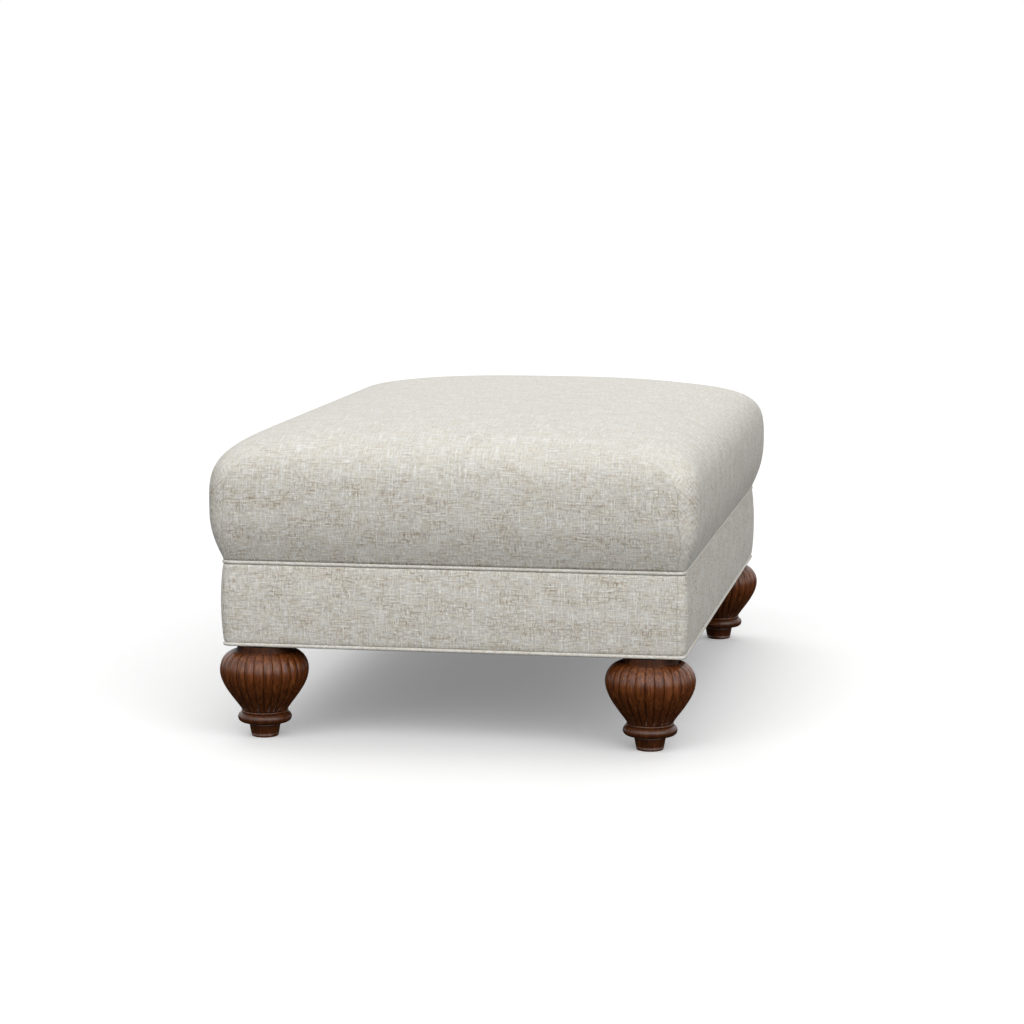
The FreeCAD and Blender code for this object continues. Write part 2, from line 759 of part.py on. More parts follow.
def band():
    radius = sizes.welt_diameter / 2
    low, high = number("fits.bottom_welt_z"), number("fits.top_welt_z")
    gap = sizes.cloth_gap
    cover = band_ring(0, sizes.cover_thickness, low + radius + gap, high - radius - gap)
    wadding = band_ring(sizes.cover_thickness + gap, sizes.band_wadding_thickness,
                        low + sizes.welt_lip_height + gap, high - sizes.welt_lip_height - gap)
    pieces = [shaped("band_cover", cover), shaped("band_wadding", wadding)]
    pieces += welt("bottom_welt", low, low, low + sizes.welt_lip_height)
    pieces += welt("top_welt", high, high - sizes.welt_lip_height, high)
    return pieces


# Flat sheets


def flat_sheets(bolts, staples):
    """The insulator cloth on the springs and the dust cover under the frame."""

    def sheet(name, margin, base, thickness):
        half_x, half_y = f"fits.frame_x - {margin}", f"fits.frame_y - {margin}"
        return block(name, (f"-({half_x})", f"-({half_y})", base),
                     (f"2 * ({half_x})", f"2 * ({half_y})", thickness))

    insulator = sheet("spring_insulator", "sizes.insulator_margin", "fits.insulator_z",
                      "sizes.insulator_thickness")
    blank = sheet("dust_cover_blank", "sizes.dust_cover_inset", "sizes.foot_height",
                  "sizes.dust_cover_thickness")
    holes = [rod(f"dust_cover_hole_{end}_{side}",
                 (times(across, "fits.foot_x"), times(along, "fits.foot_y"), "sizes.foot_height"),
                 "sizes.bolt_diameter + sizes.bolt_hole_slack", "sizes.dust_cover_thickness")
             for end, along in ENDS.items() for side, across in SIDES.items()]
    cover = cut("dust_cover", blank, group("dust_cover_holes", holes + [staples]))
    return [insulator, cover]


def build():
    """Make every piece and return those that are parts of the stool."""
    bolts = hanger_bolts()
    nuts = tee_nuts(bolts)
    dowels = rail_dowels()
    screws = block_screws()
    staples = dust_cover_staples()
    nails = clip_nails()
    driven = group("driven_into_rails", [dowels, screws, staples, nails])
    pieces = [bolts, nuts, dowels, screws, staples, nails, cross_rail(driven)]
    for side, across in SIDES.items():
        pieces.append(side_rail(side, across, driven))
    for end, along in ENDS.items():
        pieces.append(end_rail(end, along, driven))
        for side, across in SIDES.items():
            pieces.append(corner_block(end, along, side, across, nuts, screws))
    pieces += feet()
    pieces += seat_springs(nails)
    pieces += soft_seat()
    pieces += band()
    pieces += flat_sheets(bolts, staples)
    return pieces


def check(items):
    """Stop before anything is written if a feature or a solid is unsound."""
    for item in doc.Objects:
        if "Invalid" in item.State or "Error" in item.State:
            raise RuntimeError(f"{item.Label} failed: {item.State}")
    for item in items:
        if item.Shape.isNull() or not item.Shape.isValid() or not item.Shape.Solids:
            raise RuntimeError(f"{item.Label} has no sound solid")


parts = build()
doc.recompute()
check(parts)
os.makedirs("parts", exist_ok=True)
for part in parts:
    part.Shape.exportStep(f"parts/{part.Label}.step")
    print(f"{part.Label}: {len(part.Shape.Solids)} solids, {part.Shape.Volume / 1000:.1f} cm3")
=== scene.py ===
import math

import bmesh
import bpy
import numpy as np
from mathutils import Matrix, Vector


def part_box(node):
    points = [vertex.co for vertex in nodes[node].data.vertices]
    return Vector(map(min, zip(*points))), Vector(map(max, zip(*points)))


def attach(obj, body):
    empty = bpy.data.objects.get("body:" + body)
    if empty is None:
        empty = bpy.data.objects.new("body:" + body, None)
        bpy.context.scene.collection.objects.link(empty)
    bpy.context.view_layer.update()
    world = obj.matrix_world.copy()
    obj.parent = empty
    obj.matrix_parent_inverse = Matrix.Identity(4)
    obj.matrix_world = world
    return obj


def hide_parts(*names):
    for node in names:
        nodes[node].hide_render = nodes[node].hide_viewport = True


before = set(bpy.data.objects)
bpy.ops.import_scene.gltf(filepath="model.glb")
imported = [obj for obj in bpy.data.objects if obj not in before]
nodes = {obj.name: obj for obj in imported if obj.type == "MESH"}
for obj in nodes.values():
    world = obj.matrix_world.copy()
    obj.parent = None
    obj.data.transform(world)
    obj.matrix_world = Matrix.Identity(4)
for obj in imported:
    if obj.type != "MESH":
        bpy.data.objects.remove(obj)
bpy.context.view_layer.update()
scene = bpy.context.scene

# Camera: a long lens a little above the seat, turned about ten degrees to the left
# of the stool's long axis, so that the short front face is seen almost square on.
CAMERA_PLACE = (0.7598, -4.3253, 0.8447)
CAMERA_TURN = math.radians(9.945)
CAMERA_DIP = math.radians(7.650)
CAMERA_LENS = 105.76
SENSOR_WIDTH = 36

camera_data = bpy.data.cameras.new("camera")
camera_data.lens = CAMERA_LENS
camera_data.sensor_width = SENSOR_WIDTH
camera = bpy.data.objects.new("camera", camera_data)
camera.location = CAMERA_PLACE
camera.rotation_euler = (math.pi / 2 - CAMERA_DIP, 0, CAMERA_TURN)
scene.collection.objects.link(camera)
scene.camera = camera


# Frame boards: five planed poplar boards that make a box with a bar across its
# middle. Planed poplar is pale and matt, with a long straight grain that is a little
# darker, and a slight ripple left by the planer.
POPLAR_LIGHT = "cdb98f"
POPLAR_DARK = "a98f62"
POPLAR_ROUGHNESS = 0.62
GRAIN_WIDTH = 0.0035
GRAIN_LENGTH = 0.16
GRAIN_WAVE = 0.6
GRAIN_DARK = 0.12
GRAIN_PALE = 0.32
PORE_WIDTH = 0.0007
PORE_LENGTH = 0.011
BOARD_BUMP = 0.0002
BOARD_RELIEF = 0.6
# How broken up a noise is, in octaves.
SMOOTH = 2.0
ROUGH = 3.0
RAGGED = 4.0


def colour(code):
    """An sRGB hex code as a linear colour."""
    parts = [int(code[start:start + 2], 16) / 255 for start in (0, 2, 4)]
    linear = [part / 12.92 if part <= 0.04045 else ((part + 0.055) / 1.055) ** 2.4
              for part in parts]
    return (*linear, 1)


def add(tree, kind, inputs, stops=(), **settings):
    """Add one shader node: its settings, its inputs filled or linked, and any ramp's stops."""
    node = tree.nodes.new(kind)
    for name, value in settings.items():
        setattr(node, name, value)
    for name, value in inputs.items():
        if isinstance(value, bpy.types.NodeSocket):
            tree.links.new(value, node.inputs[name])
        else:
            node.inputs[name].default_value = value
    for number, (position, code) in enumerate(stops):
        elements = node.color_ramp.elements
        element = elements[number] if number < len(elements) else elements.new(1)
        element.position = position
        element.color = colour(code)
    return node


def new_finish(name, roughness, metallic=0.0):
    """An empty material: its node tree, and the surface shader that the pattern feeds."""
    material = bpy.data.materials.new(name)
    material.use_nodes = True
    surface = material.node_tree.nodes["Principled BSDF"]
    surface.inputs["Roughness"].default_value = roughness
    surface.inputs["Metallic"].default_value = metallic
    return material, material.node_tree, surface


def streaks(tree, place, size, detail, shift=0.0, wave=0.0):
    """A noise whose spots have a size in X, Y and Z. The shift sets layers of it apart."""
    spot = add(tree, "ShaderNodeMapping", {"Vector": place, "Location": [shift] * 3,
                                           "Scale": [1 / part for part in size]})
    noise = add(tree, "ShaderNodeTexNoise", {"Vector": spot.outputs[0], "Scale": 1.0,
                                             "Detail": detail, "Distortion": wave})
    return noise.outputs["Fac"]


def lay_on(tree, surface, pattern, height, depth, relief):
    """Give a surface its colour from one pattern and its relief from another."""
    tree.links.new(pattern, surface.inputs["Base Color"])
    bump = add(tree, "ShaderNodeBump", {"Height": height, "Distance": depth, "Strength": relief})
    tree.links.new(bump.outputs[0], surface.inputs["Normal"])


def grain_size(across, along, axis):
    """The size of a streak that is long along one axis."""
    return [along if letter == axis else across for letter in "xyz"]


def planed_board(name, axis, light=POPLAR_LIGHT, dark=POPLAR_DARK):
    """Planed wood whose grain runs along one axis, with pores as short dark dashes."""
    material, tree, surface = new_finish(name, POPLAR_ROUGHNESS)
    place = add(tree, "ShaderNodeTexCoord", {}).outputs["Object"]
    grain = streaks(tree, place, grain_size(GRAIN_WIDTH, GRAIN_LENGTH, axis), RAGGED,
                    wave=GRAIN_WAVE)
    pores = streaks(tree, place, grain_size(PORE_WIDTH, PORE_LENGTH, axis), SMOOTH)
    both = add(tree, "ShaderNodeMath", {0: grain, 1: pores}, operation="MULTIPLY")
    wood = add(tree, "ShaderNodeValToRGB", {"Fac": both.outputs[0]},
               stops=((GRAIN_DARK, dark), (GRAIN_PALE, light)))
    lay_on(tree, surface, wood.outputs[0], both.outputs[0], BOARD_BUMP, BOARD_RELIEF)
    return material


def dress(material, *names):
    """Give a finish to pieces whose shape comes from the frame."""
    for name in names:
        for slot in nodes[name].material_slots:
            slot.material = material


dress(planed_board("planed_poplar_long", "y"), "left_rail", "right_rail")
dress(planed_board("planed_poplar_short", "x"), "front_rail", "rear_rail", "centre_cross_rail")


# Corner blocks: sawn from the same poplar, glued and screwed into the corners with
# their grain upright. The sawn faces are rougher and a shade darker than the boards.
BLOCK_LIGHT = "c2aa7c"
BLOCK_DARK = "957a4e"
CORNERS = [f"{end}_{side}" for end in ("front", "rear") for side in ("left", "right")]

dress(planed_board("sawn_poplar_block", "z", BLOCK_LIGHT, BLOCK_DARK),
      *[f"corner_block_{corner}" for corner in CORNERS])


# Dowels: beech pins driven through the joints of the boards. Beech is pinkish tan
# with short dark flecks along the grain.
BEECH_LIGHT = "d3ab7c"
BEECH_DARK = "a8794b"

dress(planed_board("beech_dowel_rod", "x", BEECH_LIGHT, BEECH_DARK), "rail_dowels")


# Screws, tee nuts, hanger bolts, spring clips, nails and staples: mild steel with a
# bright zinc plate. The plate is a bluish grey, semi-matt, with a faint mottle.
ZINC_LIGHT = "c4c7c9"
ZINC_DARK = "8f9396"
ZINC_ROUGHNESS = 0.38
MOTTLE_SIZE = 0.004
MOTTLE_DARK = 0.3
MOTTLE_LIGHT = 0.7
GLOSS_DRIFT = 0.10


def plated_steel(name, light, dark, roughness):
    """Metal whose colour and gloss drift a little from place to place."""
    material, tree, surface = new_finish(name, roughness, metallic=1.0)
    place = add(tree, "ShaderNodeTexCoord", {}).outputs["Object"]
    mottle = add(tree, "ShaderNodeTexNoise", {"Vector": place, "Scale": 1 / MOTTLE_SIZE,
                                              "Detail": ROUGH})
    skin = add(tree, "ShaderNodeValToRGB", {"Fac": mottle.outputs["Fac"]},
               stops=((MOTTLE_DARK, dark), (MOTTLE_LIGHT, light)))
    tree.links.new(skin.outputs[0], surface.inputs["Base Color"])
    gloss = add(tree, "ShaderNodeMapRange", {"Value": mottle.outputs["Fac"],
                                             "To Min": roughness - GLOSS_DRIFT,
                                             "To Max": roughness + GLOSS_DRIFT})
    tree.links.new(gloss.outputs[0], surface.inputs["Roughness"])
    return material


dress(plated_steel("zinc_plated_steel", ZINC_LIGHT, ZINC_DARK, ZINC_ROUGHNESS),
      "block_screws", "tee_nuts", "hanger_bolts", "spring_clips", "clip_nails",
      "dust_cover_staples")


# Feet: bun feet turned in walnut, with the reeds carved by hand round the bulb. A dark red
# brown stain wiped on and off stays in the valleys and leaves the crests lighter, under a
# satin lacquer. Painted shade darkens the lower bulb and the neck under the band. Heights
# are above the floor.
# The darkest stain, also used as the painted shade on the lower bulb and the neck.
STAIN_AND_SHADE_DARK = "1e0c04"
STAIN_DEEP = "44200c"
STAIN_MID = "683615"
STAIN_LIGHT = "8c5026"
STAIN_TONES = ((0.28, STAIN_DEEP), (0.50, STAIN_MID), (0.70, STAIN_LIGHT))
WALNUT_SHINE = 0.3
LACQUER_ROUGHNESS = 0.36
LACQUER_DULLER = 0.12
LACQUER_SHINIER = 0.08
LACQUER_COAT = 0.32
COAT_ROUGHNESS = 0.28
REED_COUNT = 28
REED_WANDER = 0.55
VALLEY_START = -0.5
VALLEY_STAIN = 0.08
WAIST_HEIGHT = 0.0366
WAIST_FADE = 0.012
SHOULDER_HEIGHT = 0.1185
SHOULDER_FADE = 0.008
LOW_SHADE = 0.55
LOW_SHADE_START = 0.01
LOW_SHADE_END = 0.095
NECK_SHADE = 0.7
NECK_START = 0.003
NECK_END = 0.002
FLAME_WIDTH = 0.0034
FLAME_LENGTH = 0.050
FLAME_WAVE = 0.9
FLAME_RELIEF = 0.7
WALNUT_PORE_WIDTH = 0.0006
WALNUT_PORE_LENGTH = 0.009
PORE_THRESHOLD = 0.62
PORE_FULL = 0.70
PORE_STAIN = 0.35
PORE_RELIEF = 0.4
WALNUT_BUMP = 0.0006

foot_low, foot_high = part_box("foot_front_right")
foot_centre = (foot_low + foot_high) / 2


def stained_walnut(name):
    """Stained and lacquered walnut, whose reeds are counted round the middle of each foot."""
    material, tree, surface = new_finish(name, LACQUER_ROUGHNESS)
    surface.inputs["Coat Weight"].default_value = LACQUER_COAT
    surface.inputs["Coat Roughness"].default_value = COAT_ROUGHNESS
    surface.inputs["Specular IOR Level"].default_value = WALNUT_SHINE
    place = add(tree, "ShaderNodeTexCoord", {}).outputs["Object"]
    parts = add(tree, "ShaderNodeSeparateXYZ", {"Vector": place})
    height = parts.outputs["Z"]
    flame = streaks(tree, place, grain_size(FLAME_WIDTH, FLAME_LENGTH, "z"), ROUGH,
                    wave=FLAME_WAVE)
    pores = streaks(tree, place, grain_size(WALNUT_PORE_WIDTH, WALNUT_PORE_LENGTH, "z"), SMOOTH)

    offsets = []
    for letter, centre in (("X", abs(foot_centre.x)), ("Y", abs(foot_centre.y))):
        mirrored = add(tree, "ShaderNodeMath", {0: parts.outputs[letter]}, operation="ABSOLUTE")
        offset = add(tree, "ShaderNodeMath", {0: mirrored.outputs[0], 1: centre},
                     operation="SUBTRACT")
        offsets.append(offset.outputs[0])
    turn = add(tree, "ShaderNodeMath", {0: offsets[1], 1: offsets[0]}, operation="ARCTAN2")
    wander = add(tree, "ShaderNodeMath", {0: flame, 1: REED_WANDER}, operation="MULTIPLY")
    phase = add(tree, "ShaderNodeMath", {0: turn.outputs[0], 1: REED_COUNT, 2: wander.outputs[0]},
                operation="MULTIPLY_ADD")
    wave = add(tree, "ShaderNodeMath", {0: phase.outputs[0]}, operation="COSINE")
    valley = add(tree, "ShaderNodeMapRange", {"Value": wave.outputs[0], "From Min": VALLEY_START,
                                              "From Max": 1.0})
    above_waist = add(tree, "ShaderNodeMapRange", {"Value": height, "From Min": WAIST_HEIGHT,
                                                   "From Max": WAIST_HEIGHT + WAIST_FADE})
    below_neck = add(tree, "ShaderNodeMapRange", {"Value": height, "From Min": SHOULDER_HEIGHT,
                                                  "From Max": SHOULDER_HEIGHT - SHOULDER_FADE})
    carved = add(tree, "ShaderNodeMath", {0: above_waist.outputs[0], 1: below_neck.outputs[0]},
                 operation="MULTIPLY")
    held_stain = add(tree, "ShaderNodeMath", {0: valley.outputs[0], 1: carved.outputs[0]},
                     operation="MULTIPLY")

    # More stain stays in the valleys and in the pores, and painted shade darkens the lower bulb
    # and the neck.
    wood = add(tree, "ShaderNodeValToRGB", {"Fac": flame}, stops=STAIN_TONES)
    # Painted shade: darker towards the bottom of the bulb, which faces the floor.
    low_shade = add(tree, "ShaderNodeMapRange", {"Value": height,
                                                 "From Min": WAIST_HEIGHT - LOW_SHADE_START,
                                                 "From Max": LOW_SHADE_END,
                                                 "To Min": LOW_SHADE, "To Max": 0.0})
    # Painted shadow: the neck under the band is darkened.
    neck_shade = add(tree, "ShaderNodeMapRange", {"Value": height,
                                                  "From Min": SHOULDER_HEIGHT - NECK_START,
                                                  "From Max": SHOULDER_HEIGHT + NECK_END,
                                                  "To Max": NECK_SHADE})
    shade = add(tree, "ShaderNodeMath", {0: low_shade.outputs[0], 1: neck_shade.outputs[0]},
                operation="ADD")
    # The stain kept in the valleys, plus the painted shade on the lower bulb and the neck.
    kept = add(tree, "ShaderNodeMath",
               {0: held_stain.outputs[0], 1: VALLEY_STAIN, 2: shade.outputs[0]},
               operation="MULTIPLY_ADD", use_clamp=True)
    stained_and_shaded = add(tree, "ShaderNodeMix",
                  {0: kept.outputs[0], 6: wood.outputs[0], 7: colour(STAIN_AND_SHADE_DARK)},
                  data_type="RGBA")
    pore_mask = add(tree, "ShaderNodeMapRange", {"Value": pores, "From Min": PORE_THRESHOLD,
                                                 "From Max": PORE_FULL, "To Max": PORE_STAIN})
    finished = add(tree, "ShaderNodeMix",
                   {0: pore_mask.outputs[0], 6: stained_and_shaded.outputs[2], 7: colour(STAIN_AND_SHADE_DARK)},
                   data_type="RGBA")
    gloss = add(tree, "ShaderNodeMapRange", {"Value": flame,
                                             "To Min": LACQUER_ROUGHNESS + LACQUER_DULLER,
                                             "To Max": LACQUER_ROUGHNESS - LACQUER_SHINIER})
    tree.links.new(gloss.outputs[0], surface.inputs["Roughness"])
    tree.links.new(finished.outputs[2], surface.inputs["Base Color"])
    flame_bump = add(tree, "ShaderNodeBump", {"Height": flame, "Distance": WALNUT_BUMP,
                                              "Strength": FLAME_RELIEF})
    pore_bump = add(tree, "ShaderNodeBump", {"Height": pores, "Distance": WALNUT_BUMP / 4,
                                             "Strength": PORE_RELIEF,
                                             "Normal": flame_bump.outputs[0]})
    tree.links.new(pore_bump.outputs[0], surface.inputs["Normal"])
    return material


dress(stained_walnut("stained_walnut_lacquered"), *[f"foot_{corner}" for corner in CORNERS])


# Seat springs: zigzag springs of oil-tempered wire. The tempering leaves a dark
# bluish skin with a dull shine.
TEMPER_LIGHT = "5a5c61"
TEMPER_DARK = "2b2c30"
TEMPER_ROUGHNESS = 0.42

dress(plated_steel("oil_tempered_wire", TEMPER_LIGHT, TEMPER_DARK, TEMPER_ROUGHNESS),
      "sinuous_springs")


# Spring insulator: a sheet of stiff woven cloth laid over the springs to keep the foam
# out of them. It dips a little into each space between two springs.
INSULATOR_LIGHT = "b9a98b"
INSULATOR_DARK = "7d6b4c"
INSULATOR_ROUGHNESS = 0.9
INSULATOR_DIP = 0.0012
INSULATOR_FLAT_EDGE = 0.04
INSULATOR_YARN = 0.0022
SHEET_STEP = 0.012
SPRING_SPACING = 0.132
YARN_DARK = 0.3
YARN_LIGHT = 0.7
YARN_RELIEF = 0.5
CROSSING_TONE = 0.25
UNEVEN_SCALE = 0.4


def quad_mesh(name, points, maps, wrap_rows=False, wrap_columns=False):
    """A mesh of quads through rows of points, whose maps place each corner on the cloth."""
    rows, columns = points.shape[:2]
    row_ids = np.arange(rows if wrap_rows else rows - 1)
    column_ids = np.arange(columns if wrap_columns else columns - 1)
    row, column = [grid.ravel() for grid in np.meshgrid(row_ids, column_ids, indexing="ij")]
    steps = ((0, 0), (0, 1), (1, 1), (1, 0))
    corners = np.stack([(row + down) % rows * columns + (column + over) % columns
                        for down, over in steps], 1)
    mesh = bpy.data.meshes.new(name)
    mesh.from_pydata(points.reshape(-1, 3).tolist(), [], corners.tolist())
    for map_name, values in maps.items():
        layer = mesh.uv_layers.new(name=map_name)
        held = np.stack([values[row + down, column + over] for down, over in steps], 1)
        layer.uv.foreach_set("vector", held.astype(np.float32).ravel())
    mesh.polygons.foreach_set("use_smooth", [True] * len(mesh.polygons))
    piece = bpy.data.objects.new(name, mesh)
    scene.collection.objects.link(piece)
    return piece


def thicken(piece, thickness):
    """Give a cloth its thickness, on its inner side."""
    solid = piece.modifiers.new("thickness", "SOLIDIFY")
    solid.thickness = thickness
    solid.offset = -1


def fit_out(piece, node, material):
    """A modelled piece takes the place, the body and the slot of the solid it stands for."""
    piece.data.materials.append(material)
    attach(piece, "root")
    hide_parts(node)


def plain_weave(name, light, dark, yarn, roughness):
    """An open plain weave: threads over and under each other, drawn from the cloth's own map."""
    material, tree, surface = new_finish(name, roughness)
    place = add(tree, "ShaderNodeUVMap", {}, uv_map="cloth").outputs[0]
    parts = add(tree, "ShaderNodeSeparateXYZ", {"Vector": place})
    waves = []
    for letter in "XY":
        phase = add(tree, "ShaderNodeMath", {0: parts.outputs[letter], 1: math.pi / yarn},
                    operation="MULTIPLY")
        wave = add(tree, "ShaderNodeMath", {0: phase.outputs[0]}, operation="SINE")
        waves.append(wave.outputs[0])
    crossing = add(tree, "ShaderNodeMath", {0: waves[0], 1: waves[1]}, operation="MULTIPLY")
    uneven = add(tree, "ShaderNodeTexNoise", {"Vector": place, "Scale": UNEVEN_SCALE / yarn,
                                              "Detail": RAGGED})
    tone = add(tree, "ShaderNodeMath",
               {0: crossing.outputs[0], 1: CROSSING_TONE, 2: uneven.outputs["Fac"]},
               operation="MULTIPLY_ADD")
    thread = add(tree, "ShaderNodeValToRGB", {"Fac": tone.outputs[0]},
                 stops=((YARN_DARK, dark), (YARN_LIGHT, light)))
    lay_on(tree, surface, thread.outputs[0], crossing.outputs[0], yarn / 4, YARN_RELIEF)
    return material


def flat_grid(low, high, step, height):
    """Rows of points over a rectangle, and the same places as a map of the cloth."""
    across = np.linspace(low.x, high.x, round((high.x - low.x) / step) + 1)
    along = np.linspace(low.y, high.y, round((high.y - low.y) / step) + 1)
    y, x = np.meshgrid(along, across, indexing="ij")
    return np.stack([x, y, np.full_like(x, height)], -1), np.stack([x, y], -1)


insulator_low, insulator_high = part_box("spring_insulator")
insulator_size = insulator_high - insulator_low
points, cloth = flat_grid(insulator_low, insulator_high, SHEET_STEP, insulator_high.z)
dip = np.cos(2 * math.pi * points[..., 1] / SPRING_SPACING)
edge = np.clip((insulator_high.x - np.abs(points[..., 0])) / INSULATOR_FLAT_EDGE, 0, 1)
points[..., 2] -= INSULATOR_DIP * edge * (0.5 + 0.5 * dip)
insulator = quad_mesh("insulator_cloth", points, {"cloth": cloth})
thicken(insulator, insulator_size.z)
fit_out(insulator, "spring_insulator",
        plain_weave("woven_insulator_cloth", INSULATOR_LIGHT, INSULATOR_DARK, INSULATOR_YARN,
                    INSULATOR_ROUGHNESS))


# Foam block: cut polyurethane foam, shaped to the crown of the seat. Foam is cream
# and dead matt, with open cells that show as fine pits.
FOAM_LIGHT = "e3d8b4"
FOAM_DARK = "b8a878"
FOAM_ROUGHNESS = 0.95
FOAM_CELL = 0.0016
CELL_LIGHT = 0.45
CELL_DARK = 1.0
CELL_RELIEF = 0.4
CLOUD_SCALE = 0.05
FOAM_COLUMNS = 44
OUTLINE_STEPS = 240
EXTRA_ROWS = 0.82
SEAT_BULGE_HEIGHT = 0.0685
SEAT_CROWN_REACH = 0.280
SEAT_SIDE_POWER = 1.9
SEAT_SHOULDER_POWER = 4.33
SEAT_CROWN_POWER = 2.85
SEAT_CORNER_RADIUS = 0.026
SEAT_TOP_CORNER_RADIUS = 0.150
BAND_CORNER_RADIUS = 0.010
COVER_THICKNESS = 0.0012
WRAP_THICKNESS = 0.012
CLOTH_GAP = 0.0003

band_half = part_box("band_cover")[1]
seat_low, seat_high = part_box("cushion_cover")
seat_bulge = seat_high.x - band_half.x


def seat_stations(depth, count):
    """Evenly spaced stations on the seat's side outline, from the seam to the middle line.

    Each is (offset past the band's face, height, travel from the seam, excess), where the
    excess is how much further the cloth travels from the middle than its plan does.
    """
    steps = np.linspace(0, 1, OUTLINE_STEPS)
    fullest = seat_low.z + SEAT_BULGE_HEIGHT
    lower = np.stack([seat_bulge * (1 - (1 - steps) ** SEAT_SIDE_POWER),
                      seat_low.z + SEAT_BULGE_HEIGHT * steps], 1)
    rise = np.sin(math.pi / 2 * steps[1:])
    inward = 1 - (1 - np.minimum(rise, 1) ** SEAT_SHOULDER_POWER) ** (1 / SEAT_CROWN_POWER)
    upper = np.stack([seat_bulge - SEAT_CROWN_REACH * inward,
                      fullest + (seat_high.z - fullest) * rise], 1)
    middle = np.array([[-band_half.x, seat_high.z]])
    line = np.concatenate([lower, upper, middle])
    run = np.gradient(line, axis=0)
    square = np.stack([-run[:, 1], run[:, 0]], 1) / np.linalg.norm(run, axis=1)[:, None]
    line = line + depth * square
    line[-1] = (-band_half.x, line[-2, 1])
    line[:, 1] = np.maximum(line[:, 1], seat_low.z)
    travel = np.concatenate([[0], np.cumsum(np.linalg.norm(np.diff(line, axis=0), axis=1))])
    even = np.linspace(0, travel[-1], count)
    offset, height = [np.interp(even, travel, line[:, axis]) for axis in (0, 1)]
    excess = travel[-1] - even - (band_half.x + offset)
    return np.stack([offset, height, even, excess], 1)


def corner_radius(offset, height):
    """The plan radius of the seat's corners, sharp at the seam and wide on the crown."""
    fullest = seat_low.z + SEAT_BULGE_HEIGHT
    if height < fullest:
        share = (height - seat_low.z) / SEAT_BULGE_HEIGHT
        return BAND_CORNER_RADIUS + (SEAT_CORNER_RADIUS - BAND_CORNER_RADIUS) * share
    share = min((seat_bulge - offset) / (SEAT_TOP_CORNER_RADIUS / 2), 1)
    return SEAT_CORNER_RADIUS + (SEAT_TOP_CORNER_RADIUS - SEAT_CORNER_RADIUS) * share


def on_side(half, reach, radius, share):
    """A point of a rounded rectangle, from one corner's middle to the next along one side.

    Returns the place along the side, the place outward, the outward direction and how
    far past the straight part the point lies.
    """
    straight = half - radius
    travel = (share - 0.5) * 2 * (straight + radius * math.pi / 4)
    past = abs(travel) - straight
    if past <= 0 or radius <= 0:
        return travel, reach, (0.0, 1.0), past
    turn = past / radius
    sign = math.copysign(1, travel)
    place = (sign * (straight + radius * math.sin(turn)), reach - radius + radius * math.cos(turn))
    return (*place, (sign * math.sin(turn), math.cos(turn)), past)


# For each side: what a step along it adds to X and Y, then what a step outward adds.
SIDE_TURNS = {"front": (1, 0, 0, -1), "right": (0, 1, 1, 0),
              "rear": (-1, 0, 0, 1), "left": (0, -1, -1, 0)}


def turned_to_side(side, along, outward):
    """Place and direction along a side, as X and Y."""
    ax, ay, ox, oy = SIDE_TURNS[side]
    return along * ax + outward * ox, along * ay + outward * oy


def seat_grid(depth, across):
    """Rows of points over the seat on one plain grid, whose rings run from the seam to the crown.

    The points come with the cloth's own map, the map of the bias-cut corners, and the map
    of the corner seams, which holds the distance past the seam and the travel up from the
    welt. The seams are drawn on the short sides, so the long ones hold a metre more.
    """
    extra = 2 * round((band_half.y - band_half.x) / (2 * band_half.x) * across / 2 * EXTRA_ROWS)
    along = across + extra
    stations = seat_stations(depth, across // 2 + 1)
    places = np.zeros((along + 1, across + 1, 3))
    cloth, bias, seam = [np.zeros((along + 1, across + 1, 2)) for _ in range(3)]
    for row in range(along + 1):
        for column in range(across + 1):
            from_left, from_front = min(column, across - column), min(row, along - row)
            ring = min(from_left, from_front)
            if ring == from_front:
                side = "front" if row * 2 < along else "rear"
                share = (column - ring) / (across - 2 * ring) if across > 2 * ring else 0.5
                share = share if side == "front" else 1 - share
            else:
                side = "left" if column * 2 <= across else "right"
                share = (row - ring) / (along - 2 * ring)
                share = share if side == "right" else 1 - share
            offset, height, travel, excess = stations[ring]
            half_x, half_y = max(band_half.x + offset, 0), band_half.y + offset
            radius = min(corner_radius(offset + depth, height), half_x)
            short = side in ("front", "rear")
            half, reach = (half_x, half_y) if short else (half_y, half_x)
            place_along, outward, direction, past = on_side(half, reach, radius, share)
            x, y = turned_to_side(side, place_along, outward)
            way_x, way_y = turned_to_side(side, *direction)
            places[row, column] = (x, y, height)
            cloth[row, column] = (x + way_x * excess, y + way_y * excess)
            round_corner = (radius * math.pi / 4 - past) * (1 if short else -1)
            bias[row, column] = ((round_corner + travel) / math.sqrt(2),
                                 (travel - round_corner) / math.sqrt(2))
            seam[row, column] = (past if short else past + math.copysign(1, past), travel)
    return places, {"cloth": cloth, "bias": bias, "seam": seam}


def open_cells(name, light, dark, cell, roughness):
    """Pitted or fibrous filling, from a noise as fine as its cells."""
    material, tree, surface = new_finish(name, roughness)
    place = add(tree, "ShaderNodeTexCoord", {}).outputs["Object"]
    cells = add(tree, "ShaderNodeTexVoronoi", {"Vector": place, "Scale": 1 / cell})
    clouds = add(tree, "ShaderNodeTexNoise", {"Vector": place, "Scale": CLOUD_SCALE / cell,
                                              "Detail": ROUGH})
    tone = add(tree, "ShaderNodeMath", {0: cells.outputs["Distance"], 1: clouds.outputs["Fac"]},
               operation="ADD")
    filling = add(tree, "ShaderNodeValToRGB", {"Fac": tone.outputs[0]},
                  stops=((CELL_LIGHT, light), (CELL_DARK, dark)))
    lay_on(tree, surface, filling.outputs[0], cells.outputs["Distance"], cell / 4, CELL_RELIEF)
    return material


